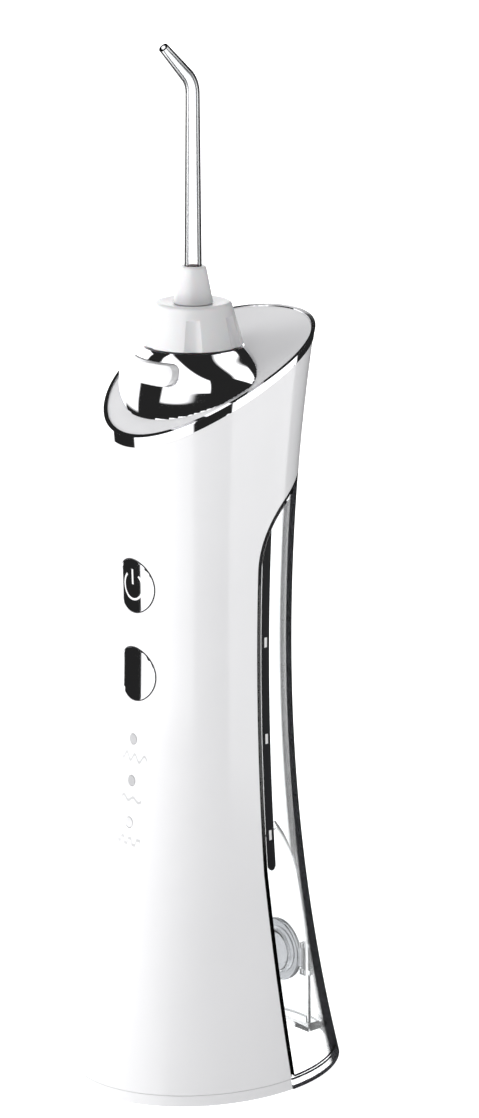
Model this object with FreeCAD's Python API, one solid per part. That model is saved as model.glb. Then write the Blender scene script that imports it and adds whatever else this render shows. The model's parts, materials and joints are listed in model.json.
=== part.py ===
"""Cordless water flosser: a waisted white handle, a clear tank behind it, and a turning jet nozzle on top.

Millimetres. +Z is up, the front with the push buttons faces -Y, and the origin is the middle of the base.
Every separate piece is one STEP file in parts/, named after its node.
"""

import FreeCAD
import Part
import math
import os

from FreeCAD import Vector

# ---------------------------------------------------------------- driving dimensions
# Body outline: ellipses whose half depth (Y) and half width (X) follow arcs that are tangent at the waist.
BASE_HALF_DEPTH = 41.0
WAIST_HALF_DEPTH = 25.4
TOP_HALF_DEPTH = 32.0
BASE_HALF_WIDTH = 34.6
WAIST_HALF_WIDTH = 22.6
TOP_HALF_WIDTH = 29.6
WAIST_Z = 126.0
TOP_Z = 218.0
SHELL_WALL = 2.0
FIT_GAP = 0.1  # between fixed pieces that seat in each other
SEAM_GAP = 0.3  # between the handle and the tank

# Sloping top: an arc in side view from the front rim to the back rim.
DECK_FRONT_Z = 187.6
DECK_BACK_Z = 215.3
DECK_CROWN = 2.75
DECK_THICK = 1.8
RING_HEIGHT = 3.4
RING_WIDTH = 1.7
RING_PROUD = 0.2

# Tank: everything behind a plane near the middle, below a sloping shoulder.
TANK_WALL = 2.0
TANK_FLOOR = 2.6
SEAM_BASE_Y = 3.3  # the seam leans back towards the base
SEAM_LEAN_Z = 62.0
SHOULDER_Z = 148.5
SHOULDER_RADIUS = 22.0
SHOULDER_SLOPE = math.radians(31.5)
BASE_CAP_HEIGHT = 3.0

# Filling port in a flat niche in the back of the tank.
NICHE_Y = 27.8
NICHE_BOTTOM_Z = 8.0
NICHE_TOP_Z = 64.0
NICHE_HALF_WIDTH = 12.8
NICHE_SHOULDER_Z = 40.0
PORT_Z = 27.0
PORT_RADIUS = 6.5
CAP_RADIUS = 9.2
CAP_THICK = 2.0
CAP_GAP = 0.15
CAP_HINGE_X = 11.2
CAP_HINGE_OUT = 1.3  # from the niche's face to the hinge pin
PLUG_DEPTH = 2.0
PLUG_TIP_RADIUS = 5.9

# Level strip let into each side of the tank.
STRIP_Y0 = 1.5
STRIP_WIDTH = 2.9
STRIP_DEEP = 0.6
STRIP_GAP = 0.03
STRIP_BOTTOM_Z = 62.5
STRIP_END_MARGIN = 1.3
TICK_BOTTOM_Z = 72.6
TICK_PITCH = 27.6
TICK_COUNT = 3
TICK_WIDTH = 1.0
TICK_HEIGHT = 2.8

# Nozzle axis and what turns on it.
NOZZLE_Y = -4.0
COLLAR_TOP_Z = 208.8
COLLAR_TOP_RADIUS = 14.0
COLLAR_BORE = 9.6
COLLAR_WALL = 1.8
COLLAR_DECK_GAP = 0.8
DECK_HOLE_RADIUS = 10.5
KNOB_GAP = 0.4
KNOB_HEIGHT = 11.8
KNOB_BASE_RADIUS = 13.9
KNOB_TOP_RADIUS = 10.4
KNOB_FLUTES = 6
CONE_HEIGHT = 9.8
CONE_BASE_RADIUS = 5.5
CONE_TOP_RADIUS = 3.45
STEM_RADIUS = 3.0
KEY_HALF_FLAT = 4.1
KEY_HEIGHT = 2.8
STEM_LENGTH = 19.0
TUBE_BASE_RADIUS = 2.45
TUBE_NECK_RADIUS = 1.95
TUBE_TIP_RADIUS = 1.4
TUBE_WALL = 0.75
TUBE_STRAIGHT_TOP_Z = 277.9
TUBE_BEND = 7.0
TUBE_BEND_ANGLE = 45.0
TUBE_TIP_LENGTH = 11.5

# Release button: a pill across the front of the collar.
PILL_Z = 203.5
PILL_HALF_LENGTH = 10.4
PILL_HALF_HEIGHT = 2.8
PILL_PROUD = 2.0
PILL_GAP = 0.2
RELEASE_TRAVEL = 1.6

# Push buttons and lamps on the front.
BUTTON_RADIUS = 7.4
BUTTON_GAP = 0.15
POWER_Z = 144.4
MODE_Z = 119.3
BUTTON_PROUD = 0.15
BUTTON_TRAVEL = 0.5
LENS_RADIUS = 1.5
LENS_Z = (100.6, 88.7, 76.8)

# Works: a motor low in the base drives a crank gear, and its rod drives the piston of the pump above.
MOTOR_Z = 17.5
MOTOR_RADIUS = 10.0
MOTOR_HALF_FLAT = 7.6
MOTOR_BACK_Y = -31.0
MOTOR_LENGTH = 22.5
SHAFT_RADIUS = 1.0
GEAR_MODULE = 0.5
PINION_TEETH = 12
CRANK_TEETH = 48
GEAR_BACK_Y = -4.0
GEAR_THICK = 3.0
GEAR_CLEARANCE = 0.16
PRESSURE_ANGLE = math.radians(20)
BACKLASH = 0.12
AXLE_RADIUS = 1.5
RUNNING_GAP = 0.05
CRANK_THROW = 2.75
CRANK_PIN_RADIUS = 1.1
OPEN_PIVOT_GAP = 0.1  # the crank pin ends this far short of the rod
ROD_LENGTH = 20.0
ROD_THICK = 2.0
ROD_EYE_RADIUS = 3.2
WRIST_PIN_RADIUS = 1.0
PISTON_RADIUS = 3.4
PISTON_CROWN = 9.6  # from the wrist pin to the crown
PISTON_SKIRT = 2.6  # from the wrist pin down
PUMP_WALL = 2.0
VALVE_X = 8.0
VALVE_BALL_RADIUS = 1.8
VALVE_CHAMBER_RADIUS = 2.3
VALVE_SEAT_RADIUS = 1.1
VALVE_LIFT = 0.8
HOSE_RADIUS = 2.2
HOSE_BORE = 1.2
SPIGOT_X = -16.0
SPIGOT_Z = 14.0
SPIGOT_RADIUS = 2.0
SPIGOT_BORE = 1.2
FRAME_THICK = 1.2
FRAME_HALF_WIDTH = 12.0

# Electrics.
BOARD_FRONT_Y = -19.3
BOARD_THICK = 1.5
BOARD_HALF_WIDTH = 7.4
BOARD_Z0 = 70.0
BOARD_Z1 = 154.0
SWITCH_HEIGHT = 1.6
CELL_RADIUS = 7.0
CELL_LENGTH = 50.0
CELL_Z = 98.0
CHARGE_Z = 195.0
FLAP_HALF_LENGTH = 7.5
FLAP_HALF_HEIGHT = 4.2
FLAP_THICK = 1.3
FLAP_GAP = 0.25
CHARGE_SLOT_HALF = 4.5

FAR = 90.0  # longer than any half size of the object, for cutting solids
SKIN_STEP = 18.0  # height between the ellipses that the body outline is lofted through


# ---------------------------------------------------------------- small helpers
def box(x0, x1, y0, y1, z0, z1):
    """An upright box between two corners."""
    return Part.makeBox(x1 - x0, y1 - y0, z1 - z0, Vector(x0, y0, z0))


def rod_x(y, z, radius, x0, x1):
    """A cylinder along X."""
    return Part.makeCylinder(radius, x1 - x0, Vector(x0, y, z), Vector(1, 0, 0))


def rod_y(x, z, radius, y0, y1):
    """A cylinder along Y."""
    return Part.makeCylinder(radius, y1 - y0, Vector(x, y0, z), Vector(0, 1, 0))


def rod_z(x, y, radius, z0, z1):
    """A cylinder along Z."""
    return Part.makeCylinder(radius, z1 - z0, Vector(x, y, z0), Vector(0, 0, 1))


def cone_z(x, y, r0, r1, z0, z1):
    """A cone along Z, r0 at z0 and r1 at z1."""
    return Part.makeCone(r0, r1, z1 - z0, Vector(x, y, z0), Vector(0, 0, 1))


def cone_y(x, z, r0, r1, y0, y1):
    """A cone along Y, r0 at y0 and r1 at y1."""
    return Part.makeCone(r0, r1, y1 - y0, Vector(x, y0, z), Vector(0, 1, 0))


def ring_z(x, y, middle_radius, thick_radius, z):
    """A torus about an upright axis."""
    return Part.makeTorus(middle_radius, thick_radius, Vector(x, y, z), Vector(0, 0, 1))


# ---------------------------------------------------------------- body outline
def flare(z, base, waist, top):
    """Half size at height z, on the arc below or above the waist."""
    rise, swell = (WAIST_Z, base - waist) if z < WAIST_Z else (TOP_Z - WAIST_Z, top - waist)
    radius = (rise**2 + swell**2) / (2 * swell)
    return waist + radius - math.sqrt(radius**2 - (z - WAIST_Z) ** 2)


def half_depth(z):
    """Half depth of the outside at height z."""
    return flare(z, BASE_HALF_DEPTH, WAIST_HALF_DEPTH, TOP_HALF_DEPTH)


def half_width(z):
    """Half width of the outside at height z."""
    return flare(z, BASE_HALF_WIDTH, WAIST_HALF_WIDTH, TOP_HALF_WIDTH)


def skin(inset, z0, z1):
    """The solid inside the body outline, drawn in by inset, between two heights."""
    steps = max(2, math.ceil((z1 - z0) / SKIN_STEP))
    wires = []
    for i in range(steps + 1):
        z = z0 + (z1 - z0) * i / steps
        deep, wide = half_depth(z) - inset, half_width(z) - inset
        ellipse = Part.Ellipse(Vector(0, deep, z), Vector(wide, 0, z), Vector(0, 0, z))
        wires.append(Part.Wire(ellipse.toShape()))
    return Part.makeLoft(wires, True, False)


def front_y(z, inset=0.0, x=0.0):
    """Where the outside, drawn in by inset, lies at the front at height z and side offset x."""
    return -(half_depth(z) - inset) * math.sqrt(1 - (x / (half_width(z) - inset)) ** 2)


def deck_arc():
    """Centre (y, z) and radius of the sloping top's arc in side view."""
    front = Vector(0, -half_depth(DECK_FRONT_Z), DECK_FRONT_Z)
    back = Vector(0, half_depth(DECK_BACK_Z), DECK_BACK_Z)
    chord = back - front
    radius = (chord.Length**2 / 4 + DECK_CROWN**2) / (2 * DECK_CROWN)
    normal = Vector(0, -chord.z, chord.y) / chord.Length
    centre = (front + back) / 2 - normal * (radius - DECK_CROWN)
    return centre, radius


def under_deck(offset):
    """Everything below the sloping top, raised by offset."""
    centre, radius = deck_arc()
    return Part.makeCylinder(radius + offset, 2 * FAR, Vector(-FAR, centre.y, centre.z), Vector(1, 0, 0))


def deck_z(y, offset=0.0):
    """Height of the sloping top at y, raised by offset along its normal."""
    centre, radius = deck_arc()
    return centre.z + math.sqrt((radius + offset) ** 2 - (y - centre.y) ** 2)


DECK_LOW_Z = DECK_FRONT_Z - 22.0  # lower than any piece of the top
SKIN_TOP_Z = TOP_Z + 6.0
PARTITION_Y = -SEAM_GAP - SHELL_WALL  # front face of the wall between the works and the tank


def tank_side(grow, z0=-1.0):
    """The tank's side outline pushed out across the whole width, larger by grow towards the handle."""
    lean = SEAM_BASE_Y * (SEAM_LEAN_Z - z0) / SEAM_LEAN_Z
    reach = SHOULDER_RADIUS + grow
    sin, cos = math.sin(SHOULDER_SLOPE), math.cos(SHOULDER_SLOPE)
    arc_end = Vector(-FAR, SHOULDER_RADIUS - reach * sin, SHOULDER_Z + reach * cos)
    middle = math.radians(135) + SHOULDER_SLOPE / 2
    middle_y = SHOULDER_RADIUS + reach * math.cos(middle)
    arc_middle = Vector(-FAR, middle_y, SHOULDER_Z + reach * math.sin(middle))
    low = Vector(-FAR, lean - grow, z0)
    bend = Vector(-FAR, -grow, SEAM_LEAN_Z)
    arc_start = Vector(-FAR, -grow, SHOULDER_Z)
    back_top = arc_end + Vector(0, cos, sin) * FAR
    back_low = Vector(-FAR, back_top.y, z0)
    edges = [
        Part.makeLine(low, bend),
        Part.makeLine(bend, arc_start),
        Part.Arc(arc_start, arc_middle, arc_end).toShape(),
        Part.makeLine(arc_end, back_top),
        Part.makeLine(back_top, back_low),
        Part.makeLine(back_low, low),
    ]
    return Part.Face(Part.Wire(edges)).extrude(Vector(2 * FAR, 0, 0))


# ---------------------------------------------------------------- top: ring, deck, collar
def trim_ring():
    """Bright ring round the sloping top."""
    outer = skin(-RING_PROUD, DECK_LOW_Z, SKIN_TOP_Z)
    inner = skin(RING_WIDTH, DECK_LOW_Z - 1, SKIN_TOP_Z + 1)
    return outer.cut(inner).common(under_deck(0)).cut(under_deck(-RING_HEIGHT))


def axis_hole(radius):
    """A hole down the nozzle's axis through the top."""
    return rod_z(0, NOZZLE_Y, radius, DECK_LOW_Z, SKIN_TOP_Z + 1)


DECK_SUNK = 0.25


def top_deck():
    """Plate that closes the top inside the ring."""
    plate = skin(RING_WIDTH + FIT_GAP / 2, DECK_LOW_Z, SKIN_TOP_Z)
    plate = plate.common(under_deck(-DECK_SUNK)).cut(under_deck(-DECK_SUNK - DECK_THICK))
    return plate.cut(axis_hole(DECK_HOLE_RADIUS))


def collar_outline(drop):
    """Half width and half depth of the collar at a drop below its top."""
    side_reach = half_width(deck_z(NOZZLE_Y)) - RING_WIDTH - COLLAR_DECK_GAP - COLLAR_TOP_RADIUS
    wide = COLLAR_TOP_RADIUS + side_reach * math.sin(min(1.0, drop / 9.0) * math.pi / 2) ** 1.2
    deep = COLLAR_TOP_RADIUS + 1.0 - math.exp(-drop / 1.5) + 0.24 * drop
    return wide, deep


def collar_solid(inset=0.0):
    """The collar's dome, round on top and wide at the deck, drawn in by inset."""
    wires = []
    for drop in (0, 1.2, 2.6, 4.2, 6.0, 8.0, 10.0, 14.0, 20.0):
        wide, deep = (reach - inset for reach in collar_outline(drop))
        centre = Vector(0, NOZZLE_Y, COLLAR_TOP_Z - drop)
        if wide > deep + 1e-6:
            ring = Part.Ellipse(centre + Vector(wide, 0, 0), centre + Vector(0, deep, 0), centre)
        elif wide < deep - 1e-6:
            ring = Part.Ellipse(centre + Vector(0, deep, 0), centre + Vector(-wide, 0, 0), centre)
        else:
            ring = Part.Circle(centre, Vector(0, 0, 1), deep)
        wires.append(Part.Wire(ring.toShape()))
    return Part.makeLoft(wires, True, False)


def pill(grow, y0, y1):
    """The release button's outline, grown all round, between two depths."""
    half, high = PILL_HALF_LENGTH + grow, PILL_HALF_HEIGHT + grow
    straight = half - high
    middle = box(-straight, straight, y0, y1, PILL_Z - high, PILL_Z + high)
    ends = [rod_y(side * straight, PILL_Z, high, y0, y1) for side in (-1, 1)]
    return middle.fuse(ends).removeSplitter()


def nozzle_collar():
    """Bright dome that carries the knob and the release button."""
    shell = collar_solid().cut(under_deck(-DECK_SUNK + FIT_GAP))
    hollow = collar_solid(COLLAR_WALL).common(box(-FAR, FAR, -FAR, FAR, 0, COLLAR_TOP_Z - COLLAR_WALL))
    shell = shell.cut(hollow).cut(axis_hole(COLLAR_BORE))
    return shell.cut(pill(PILL_GAP, -FAR, NOZZLE_Y))


# ---------------------------------------------------------------- knob and nozzle
KNOB_Z = COLLAR_TOP_Z + KNOB_GAP
KNOB_TOP_Z = KNOB_Z + KNOB_HEIGHT
STEM_BOTTOM_Z = KNOB_Z - STEM_LENGTH
GROOVE_Z = PILL_Z + 0.6
GROOVE_DEPTH = 0.7
KNOB_DISH = 0.6
HUB_TOP_Z = KNOB_TOP_Z - 1.4
HUB_LIP_GAP = 0.15  # between the hub's lip and the collar above it
HUB_LIP_THICK = 0.45
FLUTE_RADIUS = 6.0
FLUTE_DEPTH = 0.5
CONE_GAP = 0.15
CONE_TOP_Z = KNOB_TOP_Z + CONE_HEIGHT
TUBE_SEAT_Z = CONE_TOP_Z - 6.0
O_RING_Z = STEM_BOTTOM_Z + 2.2
O_RING_THICK = 0.52


def top_rims(shape, z):
    """The round edges at height z."""
    return [e for e in shape.Edges if len(e.Vertexes) == 1 and abs(e.Vertexes[0].Z - z) < 1e-6]


def key(grow, z0, z1):
    """Six-sided key on the nozzle's axis."""
    reach = (KEY_HALF_FLAT + grow) / math.cos(math.pi / 6)
    turns = [math.radians(60 * i) for i in range(7)]
    corners = [Vector(reach * math.cos(t), NOZZLE_Y + reach * math.sin(t), z0) for t in turns]
    return Part.Face(Part.makePolygon(corners)).extrude(Vector(0, 0, z1 - z0))


def nozzle_knob():
    """Turning knob: a fluted cone whose hub snaps under the collar, with a keyed seat for the nozzle."""
    body = cone_z(0, NOZZLE_Y, KNOB_BASE_RADIUS, KNOB_TOP_RADIUS, KNOB_Z, KNOB_TOP_Z)
    body = body.makeFillet(1.0, top_rims(body, KNOB_TOP_Z))
    dish_z = KNOB_TOP_Z - KNOB_DISH
    dish = cone_z(0, NOZZLE_Y, CONE_BASE_RADIUS + 0.5, KNOB_TOP_RADIUS - 1.7, dish_z, KNOB_TOP_Z)
    body = body.cut(dish)
    lean = (KNOB_BASE_RADIUS - KNOB_TOP_RADIUS) / KNOB_HEIGHT
    for i in range(KNOB_FLUTES):
        turn = math.radians(20 + 360 * i / KNOB_FLUTES)
        out = Vector(math.cos(turn), math.sin(turn), 0)
        start = Vector(0, NOZZLE_Y, KNOB_Z - 0.5) + out * (KNOB_BASE_RADIUS + FLUTE_RADIUS - FLUTE_DEPTH)
        along = Vector(0, 0, 1) - out * lean
        body = body.cut(Part.makeCone(FLUTE_RADIUS, FLUTE_RADIUS - 0.4, KNOB_HEIGHT - 1.2, start, along))
    hollow = cone_z(0, NOZZLE_Y, KNOB_BASE_RADIUS - 2.4, KNOB_TOP_RADIUS - 2.2, KNOB_Z - 1, KNOB_TOP_Z - 2.6)
    lip_top = COLLAR_TOP_Z - COLLAR_WALL - HUB_LIP_GAP
    lip_bottom = lip_top - HUB_LIP_THICK
    hub = rod_z(0, NOZZLE_Y, COLLAR_BORE - RUNNING_GAP, lip_bottom, HUB_TOP_Z)
    hub = hub.fuse(rod_z(0, NOZZLE_Y, COLLAR_BORE + 0.6, lip_bottom, lip_top))
    body = body.cut(hollow).fuse(hub)
    body = body.cut(rod_z(0, NOZZLE_Y, STEM_RADIUS + FIT_GAP, KNOB_Z - 6, KNOB_TOP_Z + 1))
    return body.cut(key(FIT_GAP, KNOB_TOP_Z - KEY_HEIGHT - FIT_GAP, KNOB_TOP_Z + 1)).removeSplitter()


def nozzle_cone():
    """White foot of the nozzle, with the key and the stem that plug into the handle."""
    z0 = KNOB_TOP_Z - KNOB_DISH + CONE_GAP
    foot = cone_z(0, NOZZLE_Y, CONE_BASE_RADIUS, CONE_TOP_RADIUS, z0, CONE_TOP_Z)
    foot = foot.makeFillet(0.4, top_rims(foot, CONE_TOP_Z))
    foot = foot.fuse(key(0, KNOB_TOP_Z - KEY_HEIGHT, z0 + 0.5))
    stem = rod_z(0, NOZZLE_Y, STEM_RADIUS, STEM_BOTTOM_Z, z0 + 0.5)
    groove = rod_z(0, NOZZLE_Y, STEM_RADIUS + 1, GROOVE_Z - 0.9, GROOVE_Z + 0.9)
    groove = groove.cut(rod_z(0, NOZZLE_Y, STEM_RADIUS - GROOVE_DEPTH, GROOVE_Z - 1, GROOVE_Z + 1))
    seal_seat = rod_z(0, NOZZLE_Y, STEM_RADIUS + 1, O_RING_Z - O_RING_THICK, O_RING_Z + O_RING_THICK)
    seal_seat = seal_seat.cut(rod_z(0, NOZZLE_Y, STEM_RADIUS - 1.0, O_RING_Z - 2, O_RING_Z + 2))
    stem = stem.cut(groove).cut(seal_seat)
    bore = rod_z(0, NOZZLE_Y, HOSE_BORE, STEM_BOTTOM_Z - 1, CONE_TOP_Z + 1)
    seat = rod_z(0, NOZZLE_Y, TUBE_BASE_RADIUS, TUBE_SEAT_Z, CONE_TOP_Z + 1)
    return foot.fuse(stem).cut(bore).cut(seat).removeSplitter()


def nozzle_o_ring():
    """Rubber ring in its groove near the stem's lower end."""
    return ring_z(0, NOZZLE_Y, STEM_RADIUS - 1.0 + O_RING_THICK, O_RING_THICK, O_RING_Z)


def bent_tube(thin):
    """The jet tube's outside, or its bore when made thinner: taper, bend, taper."""
    r0, r1, r2 = (r - thin for r in (TUBE_BASE_RADIUS, TUBE_NECK_RADIUS, TUBE_TIP_RADIUS))
    over = 0.5 if thin else 0.0
    lower = cone_z(0, NOZZLE_Y, r0, r1, TUBE_SEAT_Z - over, TUBE_STRAIGHT_TOP_Z)
    end = Part.Face(Part.Wire(Part.makeCircle(r1, Vector(0, NOZZLE_Y, TUBE_STRAIGHT_TOP_Z))))
    pivot = Vector(0, NOZZLE_Y - TUBE_BEND, TUBE_STRAIGHT_TOP_Z)
    bend = end.revolve(pivot, Vector(1, 0, 0), TUBE_BEND_ANGLE)
    angle = math.radians(TUBE_BEND_ANGLE)
    start = pivot + Vector(0, math.cos(angle), math.sin(angle)) * TUBE_BEND
    along = Vector(0, -math.sin(angle), math.cos(angle))
    tip = Part.makeCone(r1, r2, TUBE_TIP_LENGTH + over, start, along)
    return lower.fuse([bend, tip])


def nozzle_tube():
    """Clear jet tube, bent towards the front."""
    return bent_tube(0).cut(bent_tube(TUBE_WALL)).removeSplitter()


# ---------------------------------------------------------------- release button and latch
PILL_BACK_Y = NOZZLE_Y - COLLAR_TOP_RADIUS + 3.4
PILL_HOLLOW_Y = PILL_BACK_Y - 3.2
LATCH_THICK = 1.4
LATCH_Z = GROOVE_Z - LATCH_THICK / 2
LATCH_HALF_WIDTH = 4.8
LATCH_BACK_Y = NOZZLE_Y + STEM_RADIUS + 2.2
LATCH_TAB_Y = NOZZLE_Y - 9.2
LATCH_TAB_Z = PILL_Z - 3.5
SOCKET_RADIUS = 5.4
SOCKET_TOP_Z = LATCH_Z - 0.3
SOCKET_Z = 184.5
HEAD_PLATE_Z = 182.5
HEAD_PLATE_THICK = 2.0
SOCKET_FLANGE_RADIUS = 10.0
SOCKET_BARB_Z = HEAD_PLATE_Z - 6.5
RELEASE_COIL_RADIUS = 1.0
RELEASE_WIRE = 0.2
VALVE_COIL_RADIUS = 1.35
VALVE_WIRE = 0.2
SPRING_TURNS = 4
SCREW_RADIUS = 0.9
SCREW_HEAD_RADIUS = 1.7
SCREW_HEAD = 1.1


def release_button():
    """Pill-shaped push button: its face follows the collar's front and stands proud of it."""
    body = pill(0, -FAR, PILL_BACK_Y).common(collar_solid(-PILL_PROUD))
    rim = [e for e in body.Edges if e.BoundBox.YMax < PILL_BACK_Y - 2.0]
    body = body.makeFillet(0.6, rim)
    return body.cut(pill(-1.3, PILL_HOLLOW_Y, PILL_BACK_Y + 1))


def release_latch():
    """Sliding plate behind the button: the back edge of its window holds the nozzle's groove."""
    front = PILL_HOLLOW_Y + FIT_GAP
    plate = box(-LATCH_HALF_WIDTH, LATCH_HALF_WIDTH, front, LATCH_BACK_Y, LATCH_Z, LATCH_Z + LATCH_THICK)
    reach = STEM_RADIUS + FIT_GAP
    far_y = NOZZLE_Y - RELEASE_TRAVEL - FIT_GAP
    window = [rod_z(0, y, reach, LATCH_Z - 1, LATCH_Z + 3) for y in (NOZZLE_Y, far_y)]
    slot = box(-reach, reach, far_y, NOZZLE_Y, LATCH_Z - 1, LATCH_Z + 3)
    tab = box(-2.5, 2.5, LATCH_TAB_Y - 1.0, LATCH_TAB_Y, LATCH_TAB_Z, LATCH_Z)
    return plate.cut(slot.fuse(window)).fuse(tab).removeSplitter()


def coil_spring(radius, wire, start, direction, length, turns):
    """A coil spring of half rings that tilt to and fro; its wire's centre line starts half a wire in."""
    rise = (length - 2 * wire) / (2 * turns)
    halves = []
    for i in range(2 * turns):
        side = 1 if i % 2 == 0 else -1
        begin = Vector(side * radius, 0, i * rise)
        centre = Vector(0, 0, (i + 0.5) * rise)
        along = Vector(0, side, 0)
        section = Part.Face(Part.Wire(Part.makeCircle(wire, begin, along)))
        halves.append(section.revolve(centre, (begin - centre).cross(along), 180))
    coil = halves[0].fuse(halves[1:])
    coil.Placement = FreeCAD.Placement(start + direction * wire, FreeCAD.Rotation(Vector(0, 0, 1), direction))
    return coil


def release_spring():
    """Spring between the nozzle socket and the latch's tab."""
    start = Vector(0, LATCH_TAB_Y + FIT_GAP, LATCH_TAB_Z + 1.3)
    length = NOZZLE_Y - SOCKET_RADIUS - LATCH_TAB_Y - 2 * FIT_GAP
    return coil_spring(RELEASE_COIL_RADIUS, RELEASE_WIRE, start, Vector(0, 1, 0), length, SPRING_TURNS)


def socket_screw_places():
    """Where the socket's screws stand."""
    reach = (SOCKET_RADIUS + SOCKET_FLANGE_RADIUS) / 2
    turns = [math.radians(45 + 90 * i) for i in range(4)]
    return [(reach * math.cos(t), NOZZLE_Y + reach * math.sin(t)) for t in turns]


def nozzle_socket():
    """Fixed socket that seals round the nozzle's stem, with a hose barb below."""
    body = rod_z(0, NOZZLE_Y, SOCKET_RADIUS, SOCKET_Z, SOCKET_TOP_Z)
    body = body.fuse(rod_z(0, NOZZLE_Y, SOCKET_FLANGE_RADIUS, SOCKET_Z, SOCKET_Z + 2))
    body = body.fuse(rod_z(0, NOZZLE_Y, HOSE_RADIUS, SOCKET_BARB_Z, SOCKET_Z))
    body = body.cut(rod_z(0, NOZZLE_Y, STEM_RADIUS + FIT_GAP, STEM_BOTTOM_Z - FIT_GAP, SOCKET_TOP_Z + 1))
    body = body.cut(rod_z(0, NOZZLE_Y, HOSE_BORE, SOCKET_BARB_Z - 1, STEM_BOTTOM_Z + 1))
    for x, y in socket_screw_places():
        body = body.cut(rod_z(x, y, SCREW_RADIUS + FIT_GAP, SOCKET_Z - 1, SOCKET_Z + 3))
    return body.removeSplitter()


def head_plate():
    """Shelf inside the handle's head that the socket stands on."""
    plate = skin(SHELL_WALL + FIT_GAP, HEAD_PLATE_Z, HEAD_PLATE_Z + HEAD_PLATE_THICK)
    plate = plate.cut(rod_z(0, NOZZLE_Y, HOSE_RADIUS + FIT_GAP, HEAD_PLATE_Z - 1, HEAD_PLATE_Z + 3))
    for x, y in socket_screw_places():
        plate = plate.cut(rod_z(x, y, SCREW_RADIUS, HEAD_PLATE_Z - 1, HEAD_PLATE_Z + 3))
    return plate


def screw_z(x, y, z, length, up):
    """A pan-head screw whose head sits on z; its shank goes down, or up if up is true."""
    side = 1 if up else -1
    shank = Part.makeCylinder(SCREW_RADIUS, length, Vector(x, y, z), Vector(0, 0, side))
    head = Part.makeCylinder(SCREW_HEAD_RADIUS, SCREW_HEAD, Vector(x, y, z), Vector(0, 0, -side))
    slot_z = z - side * SCREW_HEAD
    slot = box(-0.25, 0.25, -SCREW_HEAD_RADIUS, SCREW_HEAD_RADIUS, -0.4, 0.4)
    slot.translate(Vector(x, y, slot_z))
    return shank.fuse(head).cut(slot)


def socket_screws():
    """Four screws through the socket's flange."""
    return Part.makeCompound([screw_z(x, y, SOCKET_Z + 2, 3.8, False) for x, y in socket_screw_places()])


# ---------------------------------------------------------------- handle shell and partition
BASE_TOP_Z = BASE_CAP_HEIGHT + FIT_GAP
SCREW_PLACES = [(-22.0, -12.0), (22.0, -12.0), (0.0, -36.2)]
BOSS_RADIUS = 2.2
BOSS_HEIGHT = 9.0
LIP_HEIGHT = 2.0


def button_places():
    """Heights of the two round push buttons."""
    return (POWER_Z, MODE_Z)


def handle_shell():
    """White outer housing of the handle."""
    outside = skin(0, BASE_TOP_Z, SKIN_TOP_Z)
    inside = skin(SHELL_WALL, BASE_TOP_Z - 1, SKIN_TOP_Z + 1)
    shell = outside.cut(inside).cut(tank_side(SEAM_GAP)).common(under_deck(-RING_HEIGHT))
    for x, y in SCREW_PLACES:
        boss = rod_z(x, y, BOSS_RADIUS, BASE_TOP_Z, BASE_TOP_Z + BOSS_HEIGHT)
        web_z = BASE_TOP_Z + LIP_HEIGHT + FIT_GAP
        web = box(x - 0.6, x + 0.6, y - 4.0, y, web_z, BASE_TOP_Z + BOSS_HEIGHT)
        if abs(x) > 1:
            web = box(min(x, x * 1.5), max(x, x * 1.5), y - 0.6, y + 0.6, web_z, BASE_TOP_Z + BOSS_HEIGHT)
        shell = shell.fuse(boss.fuse(web).common(skin(SHELL_WALL / 2, BASE_TOP_Z, BASE_TOP_Z + BOSS_HEIGHT)))
        shell = shell.cut(rod_z(x, y, SCREW_RADIUS, BASE_TOP_Z - 1, BASE_TOP_Z + BOSS_HEIGHT - 1))
    for z in button_places():
        shell = shell.cut(rod_y(0, z, BUTTON_RADIUS + BUTTON_GAP, -FAR, BOARD_FRONT_Y))
    for z in LENS_Z:
        shell = shell.cut(rod_y(0, z, LENS_RADIUS + RUNNING_GAP, -FAR, BOARD_FRONT_Y))
    return shell.cut(flap_outline(FLAP_GAP, 0, FAR)).removeSplitter()


def rear_partition():
    """Inner wall between the works and the tank, following the tank's front and shoulder."""
    layer = tank_side(SEAM_GAP + SHELL_WALL).cut(tank_side(SEAM_GAP))
    wall = layer.common(skin(SHELL_WALL + FIT_GAP, BASE_TOP_Z, HEAD_PLATE_Z - FIT_GAP))
    wall = wall.cut(box(-FAR, FAR, FRAME_FACE_Y - 20, FAR, -5, BASE_TOP_Z))
    return wall.cut(rod_y(SPIGOT_X, SPIGOT_Z, GROMMET_RADIUS, -FAR, FAR))


GROMMET_RADIUS = 3.6
FRAME_FACE_Y = PARTITION_Y - FIT_GAP  # the drive frame's back face


def base_cap():
    """Floor of the handle."""
    cap = skin(0, 0, BASE_CAP_HEIGHT).cut(tank_side(SEAM_GAP))
    bottom = [e for e in cap.Edges if e.BoundBox.ZMax < 1e-6]
    cap = cap.makeFillet(0.8, bottom)
    lip = skin(SHELL_WALL + FIT_GAP, BASE_CAP_HEIGHT, BASE_CAP_HEIGHT + LIP_HEIGHT)
    lip = lip.cut(skin(2 * SHELL_WALL, BASE_CAP_HEIGHT - 1, BASE_CAP_HEIGHT + LIP_HEIGHT + 1))
    lip = lip.cut(tank_side(SEAM_GAP + 2 * SHELL_WALL))
    cap = cap.fuse(lip)
    for x, y in SCREW_PLACES:
        cap = cap.cut(rod_z(x, y, BOSS_RADIUS + FIT_GAP, BASE_CAP_HEIGHT, BASE_CAP_HEIGHT + 3))
        cap = cap.cut(rod_z(x, y, SCREW_RADIUS + FIT_GAP, -1, BASE_CAP_HEIGHT + 1))
        cap = cap.cut(rod_z(x, y, SCREW_HEAD_RADIUS + FIT_GAP, -1, SCREW_HEAD + 0.4))
    return cap


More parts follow.
